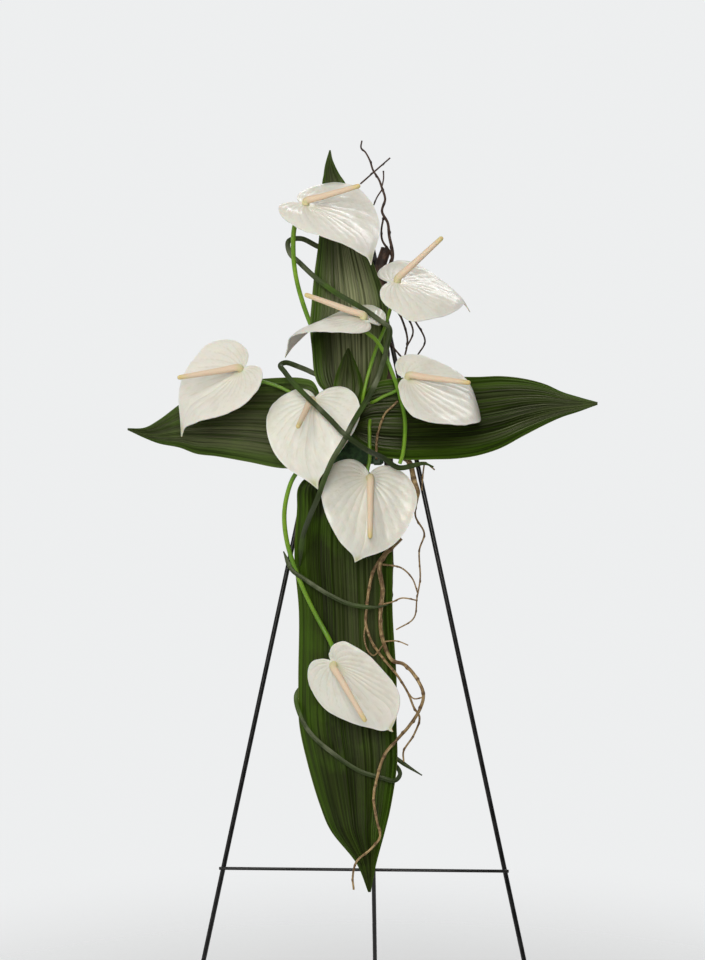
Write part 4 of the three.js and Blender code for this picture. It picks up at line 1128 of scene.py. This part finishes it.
for count, (node, (slot_name, bark, twigs)) in enumerate(WILLOWS.items()):
    rods = [
        rod(f"{node}_{k}", points, twig_radius(start, end, 400 + 20 * count + k),
            24 if start > 3 else 14, 1.2 if start > 3 else 1.0)
        for k, (points, start, end) in enumerate(twigs)
    ]
    branch = joined(node + "_branch", rods)
    branch.data.materials.append(bark)
    hand_over(branch, FRONT, slot_name, node)
    print(branch.name, len(branch.data.polygons), "faces")

# %% [markdown]
# ## Finish of the wire easel
# The easel is drawn steel wire with a semi-gloss black lacquer. The lacquer is slightly uneven, and
# it has rubbed thin in a few specks. Its feet are dull soft plastic with a little dust on them.

# %% Easel materials
def mottled_finish(name, scale, dark, light, patches, grain, rough, bump, worn=None, **constants):
    """Two colours in patches. Roughness and bump follow one output of the mottle, the grain."""
    finish = Finish(name, **constants)
    mottle = finish.group(mottle_group, finish.place(), Scale=scale)
    colour = finish.mix(finish.mask(mottle["Patches"], *patches), dark, light)
    if worn is not None:
        colour = finish.mix(finish.mask(mottle["Specks"], 0.7, 0.76, 0, 0.4), colour, worn)
    roughness = finish.mask(mottle[grain], 0.3, 0.7, *rough)
    return finish.paint(colour, roughness, finish.bump(mottle[grain], *bump))


steel = mottled_finish("black_lacquer", 90.0, (0.004, 0.004, 0.004), (0.010, 0.010, 0.010),
                       (0.4, 0.65), "Patches", (0.26, 0.42), (0.1, 0.5), (0.06, 0.06, 0.06),
                       Specular_IOR_Level=0.3, Coat_Weight=0.15, Coat_Roughness=0.15)
soft_tip = mottled_finish("soft_tip", 120.0, (0.012, 0.012, 0.012), (0.05, 0.048, 0.045),
                          (0.5, 0.75, 0, 0.6), "Specks", (0.65, 0.85), (0.1, 0.5))
print("easel finishes:", steel.name, soft_tip.name)

# %% [markdown]
# ## The wire easel
# Straight wires are cylinders, added at their length and laid in place. Their ends are rounded with
# a bevel, as a sheared wire is after tumbling. The crossbar and the hooks are spot-welded to the
# legs, which leaves a small collar of metal, so a bead goes over each of those points. The bent
# wires, the hooks and the eye of the back leg, are rods along a line.

# %% Easel wires
LEG_RADIUS = 3
APEX_HEIGHT = 1371
FOOT_HALF_SPREAD = 295
GAP = 0.3
SLOPE = FOOT_HALF_SPREAD / APEX_HEIGHT
HINGE_HEIGHT = 1277
CAP_FLOOR = 5
CROSSBAR_HEIGHT = 540
CROSSBAR_RADIUS = 2
CROSSBAR_OVERHANG = 5
HOOK_RADIUS = 2
HOOK_REACH = 14.6
LATH_HALF_WIDTH = 9
HARD_EDGE = math.radians(40)


def leg_x(height):
    return (APEX_HEIGHT - height) * SLOPE


def place_at_rest(piece, matrix):
    """Puts a piece where it belongs and keeps that place in its mesh."""
    piece.matrix_world = matrix
    select_only(piece)
    bpy.ops.object.transform_apply(location=True, rotation=True, scale=True)


def between(start, end, axes):
    """The matrix that centres a piece between two places and turns its own z axis along them."""
    low, high = axes @ (Vector(start) * MM), axes @ (Vector(end) * MM)
    turn = (high - low).to_track_quat("Z", "Y").to_matrix().to_4x4()
    return Matrix.Translation((low + high) / 2) @ turn


def rounded(piece, width, segments=3):
    bpy.ops.object.modifier_add(type="BEVEL")
    edge = piece.modifiers[-1]
    edge.width = width * MM
    edge.segments = segments
    edge.limit_method = "ANGLE"
    bpy.ops.object.modifier_apply(modifier=edge.name)
    bpy.ops.object.shade_smooth_by_angle(angle=HARD_EDGE)


def straight_wire(name, start, end, radius, axes=easel_axes):
    length = (Vector(end) - Vector(start)).length
    cylinder = bpy.ops.mesh.primitive_cylinder_add
    wire = added(name, cylinder, vertices=32, radius=radius * MM, depth=length * MM)
    rounded(wire, 0.35 * radius)
    place_at_rest(wire, between(start, end, axes))
    wire.data.materials.append(steel)
    return wire


def weld_bead(name, middle, along, radius, size, axes=easel_axes):
    """A ring of weld round a wire, which runs in the given direction."""
    bead = added(name, bpy.ops.mesh.primitive_torus_add, major_segments=28, minor_segments=10,
                 major_radius=radius * MM, minor_radius=size * MM)
    half = Vector(along).normalized() * 0.5
    place_at_rest(bead, between(Vector(middle) - half, Vector(middle) + half, axes))
    bead.data.materials.append(steel)
    bpy.ops.object.shade_smooth()
    return bead


def hook_radius(share, around, run):
    return HOOK_RADIUS * np.sqrt(np.clip(1 - ramp(share, 0.93, 1) * 0.7, 0, 1))


apex = Vector((0, APEX_HEIGHT, 0))
for side, sign in (("left", -1), ("right", 1)):
    foot = Vector((sign * FOOT_HALF_SPREAD, 0, 0))
    direction = (apex - foot).normalized()
    start = foot + direction * (CAP_FLOOR + GAP)
    end = apex - direction * ((LEG_RADIUS + GAP) / SLOPE)
    leg = straight_wire(f"leg_wire_{side}", start, end, LEG_RADIUS)
    hand_over(leg, FRONT, "steel", f"front_leg_{side}")
    hook_x = sign * leg_x(CROSSING_HEIGHT)
    low = CROSSING_HEIGHT - LATH_HALF_WIDTH - GAP - HOOK_RADIUS
    line = [(hook_x, low, LEG_RADIUS + GAP), (hook_x, low, 9), (hook_x, low + 0.8, 13),
            (hook_x, low + 5, HOOK_REACH), (hook_x, low + 14, HOOK_REACH)]
    hook = rod(f"hook_wire_{side}", line, hook_radius, 20, 0.5, easel_axes)
    hook.data.materials.append(steel)
    bead = weld_bead("bead", (hook_x, low, LEG_RADIUS + 0.6), (0, 0, 1), HOOK_RADIUS, 0.9)
    hook = joined(hook.name, [hook, bead])
    hand_over(hook, FRONT, "steel", f"hook_{side}")

half = leg_x(CROSSBAR_HEIGHT)
reach = half + CROSSBAR_OVERHANG
bar_out = LEG_RADIUS + GAP + CROSSBAR_RADIUS
crossbar = straight_wire("crossbar_wire", (-reach, CROSSBAR_HEIGHT, bar_out),
                         (reach, CROSSBAR_HEIGHT, bar_out), CROSSBAR_RADIUS)
beads = [weld_bead("bead", (sign * half, CROSSBAR_HEIGHT, bar_out - 1.4), (sign, 0, 0), 1.5, 1.1)
         for sign in (-1, 1)]
crossbar = joined("crossbar_wire", [crossbar] + beads)
hand_over(crossbar, FRONT, "steel", "crossbar")

half = leg_x(HINGE_HEIGHT) - LEG_RADIUS * (1 + SLOPE) - GAP - 0.1
hinge = straight_wire("hinge_wire", (-half, HINGE_HEIGHT, 0), (half, HINGE_HEIGHT, 0), LEG_RADIUS)
hand_over(hinge, FRONT, "steel", "hinge_bar")
print("front wires done; legs", round(2 * leg_x(0)), "mm apart at the floor")

# %% [markdown]
# ## The back leg
# The back leg hangs on the hinge bar by an eye that is bent from its own end. It moves, so it rides
# on its own body, and it stays clear of the bar all round.

# %% Back leg
OPENING = math.radians(20)
EYE_RADIUS = 2 * LEG_RADIUS + 3 * GAP
hinge_axes = easel_axes @ Matrix.Translation((0, HINGE_HEIGHT * MM, 0))
back_axes = hinge_axes @ Matrix.Rotation(OPENING, 4, "X")
fall = OPENING - LEAN
BACK_LENGTH = (HINGE_HEIGHT * math.cos(LEAN) - EYE_RADIUS * math.sin(fall)) / math.cos(fall)


def eye_radius(share, around, run):
    return LEG_RADIUS - 0.01 - 0.5 * ramp(share, 0.97, 1)


shaft_foot = (0, -BACK_LENGTH + CAP_FLOOR + GAP, -EYE_RADIUS)
shaft = straight_wire("back_leg_wire", shaft_foot, (0, -9, -EYE_RADIUS), LEG_RADIUS, back_axes)
eye_line = [(0, -14, -EYE_RADIUS), (0, -10, -EYE_RADIUS), (0, -6, -EYE_RADIUS)]
for turn in range(180, -111, -29):
    angle = math.radians(turn)
    eye_line.append((0, EYE_RADIUS * math.sin(angle), EYE_RADIUS * math.cos(angle)))
eye = rod("eye", eye_line, eye_radius, 32, 0.7, back_axes)
eye.data.materials.append(steel)
shaft = joined("back_leg_wire", [shaft, eye])
hand_over(shaft, BACK, "steel", "back_leg")
print("back leg", round(BACK_LENGTH), "mm long")

# %% [markdown]
# ## Feet
# Each wire stands in a soft cup. A cylinder is inset on top and pushed down to make the hole, its
# rims are rounded, and a cut at floor level lets it stand flat although the leg leans.

# %% Foot caps
CAP_RADIUS = 6
CAP_HEIGHT = 24
CUT_AWAY = 12


def foot_cap(name, top, foot, axes):
    direction = (Vector(top) - Vector(foot)).normalized()
    cap = added(name, bpy.ops.mesh.primitive_cylinder_add, vertices=48, radius=CAP_RADIUS * MM,
                depth=(CAP_HEIGHT + CUT_AWAY) * MM)
    bpy.ops.object.mode_set(mode="EDIT")
    bpy.ops.mesh.select_all(action="DESELECT")
    bpy.ops.object.mode_set(mode="OBJECT")
    for face in cap.data.polygons:
        face.select = face.normal.z > 0.9
    bpy.ops.object.mode_set(mode="EDIT")
    bpy.ops.mesh.inset(thickness=(CAP_RADIUS - LEG_RADIUS - GAP) * MM)
    bpy.ops.mesh.extrude_region_move(
        TRANSFORM_OT_translate={"value": (0, 0, -(CAP_HEIGHT - CAP_FLOOR) * MM)})
    bpy.ops.object.mode_set(mode="OBJECT")
    rounded(cap, 0.9, 4)
    foot = Vector(foot)
    place_at_rest(cap, between(foot - direction * CUT_AWAY, foot + direction * CAP_HEIGHT, axes))
    edit_all(cap, lambda: bpy.ops.mesh.bisect(
        plane_co=(0, 0, 0), plane_no=(0, 0, 1), clear_inner=True, use_fill=True))
    bpy.ops.object.shade_smooth_by_angle(angle=HARD_EDGE)
    cap.data.materials.append(soft_tip)
    return cap


for side, sign in (("left", -1), ("right", 1)):
    cap = foot_cap(f"tip_{side}", apex, (sign * FOOT_HALF_SPREAD, 0, 0), easel_axes)
    hand_over(cap, FRONT, "cap", f"foot_cap_{side}")
cap = foot_cap("tip_back", (0, 0, -EYE_RADIUS), (0, -BACK_LENGTH, -EYE_RADIUS), back_axes)
hand_over(cap, BACK, "cap", "foot_cap_back")
print("feet done")

# %% [markdown]
# ## The plate at the top
# A small pressed plate holds the two wires together where they meet. It is a thin box whose upper
# end is squeezed to the width that the legs have there.

# %% Apex plate
PLATE_THICKNESS = 2
PLATE_MARGIN = 5
plate_low, plate_high = APEX_HEIGHT - 60, APEX_HEIGHT - 12
wide, narrow = leg_x(plate_low) + PLATE_MARGIN, leg_x(plate_high) + PLATE_MARGIN
plate = added("top_plate", bpy.ops.mesh.primitive_cube_add, size=1)
for corner in plate.data.vertices:
    corner.co.x *= 2 * (wide if corner.co.y < 0 else narrow) * MM
    corner.co.y *= (plate_high - plate_low) * MM
    corner.co.z *= PLATE_THICKNESS * MM
rounded(plate, 0.5)
plate_out = LEG_RADIUS + GAP + PLATE_THICKNESS / 2
middle = Matrix.Translation((0, (plate_low + plate_high) / 2 * MM, plate_out * MM))
place_at_rest(plate, easel_axes @ middle)
plate.data.materials.append(steel)
hand_over(plate, FRONT, "steel", "apex_plate")
print("plate", round(2 * wide), "by", plate_high - plate_low, "mm")

# %% [markdown]
# ## The frame inside the cross
# Behind the leaves two sawn laths are crossed and taped to a block of wet florist's foam that every
# stem is pushed into. The grain of a lath runs along it, so its material stretches a noise in the
# direction of its length. The foam is open and crumbly: its box is divided finely and every corner
# is moved in or out a little.

# %% Lath, foam and tape materials
def lath_finish(name, stretch):
    finish = Finish(name)
    grain = finish.node("ShaderNodeVectorMath", operation="MULTIPLY")
    finish.link(finish.place(), grain.inputs[0])
    grain.inputs[1].default_value = stretch
    noise = finish.node("ShaderNodeTexNoise", Scale=1.0, Detail=5.0, Distortion=0.6)
    finish.link(grain.outputs[0], noise.inputs["Vector"])
    rings = noise.outputs["Fac"]
    colour = finish.mix(finish.mask(rings, 0.32, 0.68), (0.24, 0.145, 0.06), (0.45, 0.31, 0.16))
    rough = finish.mask(rings, 0.3, 0.7, 0.82, 0.62)
    return finish.paint(colour, rough, finish.bump(rings, 0.5, 0.7))


foam_skin = mottled_finish("wet_foam", 160.0, (0.012, 0.035, 0.012), (0.035, 0.085, 0.028),
                           (0.35, 0.65), "Specks", (0.8, 1.0), (0.8, 1.0))
tape_skin = mottled_finish("anchor_tape", 130.0, (0.012, 0.04, 0.010), (0.026, 0.07, 0.02),
                           (0.3, 0.7), "Patches", (0.4, 0.6), (0.4, 0.8))
print("armature finishes:", foam_skin.name, tape_skin.name)

# %% Laths and foam
def block(name, low, high, edge, cuts=0):
    """A box between two corners in the cross's millimetres, with rounded edges."""
    low, high = Vector(low), Vector(high)
    body = added(name, bpy.ops.mesh.primitive_cube_add, size=1)
    body.scale = (high - low) * MM
    bpy.ops.object.transform_apply(location=True, rotation=True, scale=True)
    rounded(body, edge)
    if cuts:
        edit_all(body, lambda: bpy.ops.mesh.subdivide(number_cuts=cuts))
    place_at_rest(body, cross_axes @ Matrix.Translation((low + high) / 2 * MM))
    return body


lath_across = block("lath_across", (-200, -LATH_HALF_WIDTH, 4), (200, LATH_HALF_WIDTH, 10), 0.6)
lath_across.data.materials.append(lath_finish("lath_grain_across", (9, 160, 160)))
hand_over(lath_across, FRONT, "lath", "lath_cross")
lath_up = block("lath_up", (-LATH_HALF_WIDTH, -330, 10.3), (LATH_HALF_WIDTH, 145, 16.3), 0.6)
lath_up.data.materials.append(lath_finish("lath_grain_up", (160, 160, 9)))
hand_over(lath_up, FRONT, "lath", "lath_upright")

foam = block("foam", (-44.6, -54.6, 17), (27.6, 34.6, 49.6), 2.5, 24)
spots = np.array([v.co for v in foam.data.vertices])
rough = np.array([v.normal for v in foam.data.vertices])
x, y, z = spots.T
crumbs = 0.25 * ripples(900 * x + 500 * z, 900 * y - 400 * z, 500, 14)
foam.data.vertices.foreach_set("co", (spots + rough * crumbs[:, None] * MM).ravel())
foam.data.materials.append(foam_skin)
hand_over(foam, FRONT, "foam", "foam_block")

# %% [markdown]
# ## The anchor tape
# One turn of waterproof tape binds foam and laths together. It is a narrow grid led round them, with
# rounded corners and a slight wrinkle, and it gets its thickness at the end.

# %% Anchor tape
TAPE_STEPS = 400
TAPE = dict(left=16.5, width=8, thickness=0.72, bottom=-55.7, top=35.7, back=3.3, front=50.7, corner=2)


def tape_loop(steps):
    """Evenly spaced places round the block, as y and z, with rounded corners."""
    low_y, high_y, low_z, high_z = TAPE["bottom"], TAPE["top"], TAPE["back"], TAPE["front"]
    r = TAPE["corner"]
    loop = []
    for y, z, first in ((high_y - r, high_z - r, 0), (low_y + r, high_z - r, 90),
                        (low_y + r, low_z + r, 180), (high_y - r, low_z + r, 270)):
        for turn in range(0, 91, 15):
            angle = math.radians(first + turn)
            loop.append((y + r * math.cos(angle), z + r * math.sin(angle)))
    loop.append(loop[0])
    loop = np.array(loop)
    run = np.concatenate([[0], np.cumsum(np.linalg.norm(np.diff(loop, axis=0), axis=1))])
    wanted = np.linspace(0, run[-1], steps)
    return np.interp(wanted, run, loop[:, 0]), np.interp(wanted, run, loop[:, 1])


def tape_place(s, t):
    y, z = tape_loop(TAPE_STEPS + 1)
    k = np.rint(t * TAPE_STEPS).astype(int) % TAPE_STEPS
    x = TAPE["left"] + TAPE["width"] * s
    wrinkle = 0.12 * ripples(1.4 * x, 0.5 * k, 600) * np.sin(math.pi * s)
    middle = np.array([(TAPE["bottom"] + TAPE["top"]) / 2, (TAPE["back"] + TAPE["front"]) / 2])
    away = np.stack([y[k], z[k]], axis=1) - middle
    away /= np.linalg.norm(away, axis=1, keepdims=True)
    return np.stack([x, y[k] + away[:, 0] * wrinkle, z[k] + away[:, 1] * wrinkle], axis=1)


tape = shaped_grid("tape_turn", 10, TAPE_STEPS, tape_place)
edit_all(tape, merge_doubles, face_outwards)
thicken(tape, TAPE["thickness"], tape_skin)
hand_over(tape, FRONT, "tape", "anchor_tape")
print("armature done")

# %% [markdown]
# ## Size of the scene
# The box round everything that is shown is printed, to be held against the space of the engineering
# model, which every piece should stay within, and so is the total of triangles in the scene.

# %% Size and finish
shown = [o for o in bpy.context.scene.objects if o.type == "MESH" and not o.hide_render]
print("triangles:", sum(len(face.vertices) - 2 for o in shown for face in o.data.polygons))
low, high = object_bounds()
print("visual box", [round(x, 4) for x in (*low, *high)])
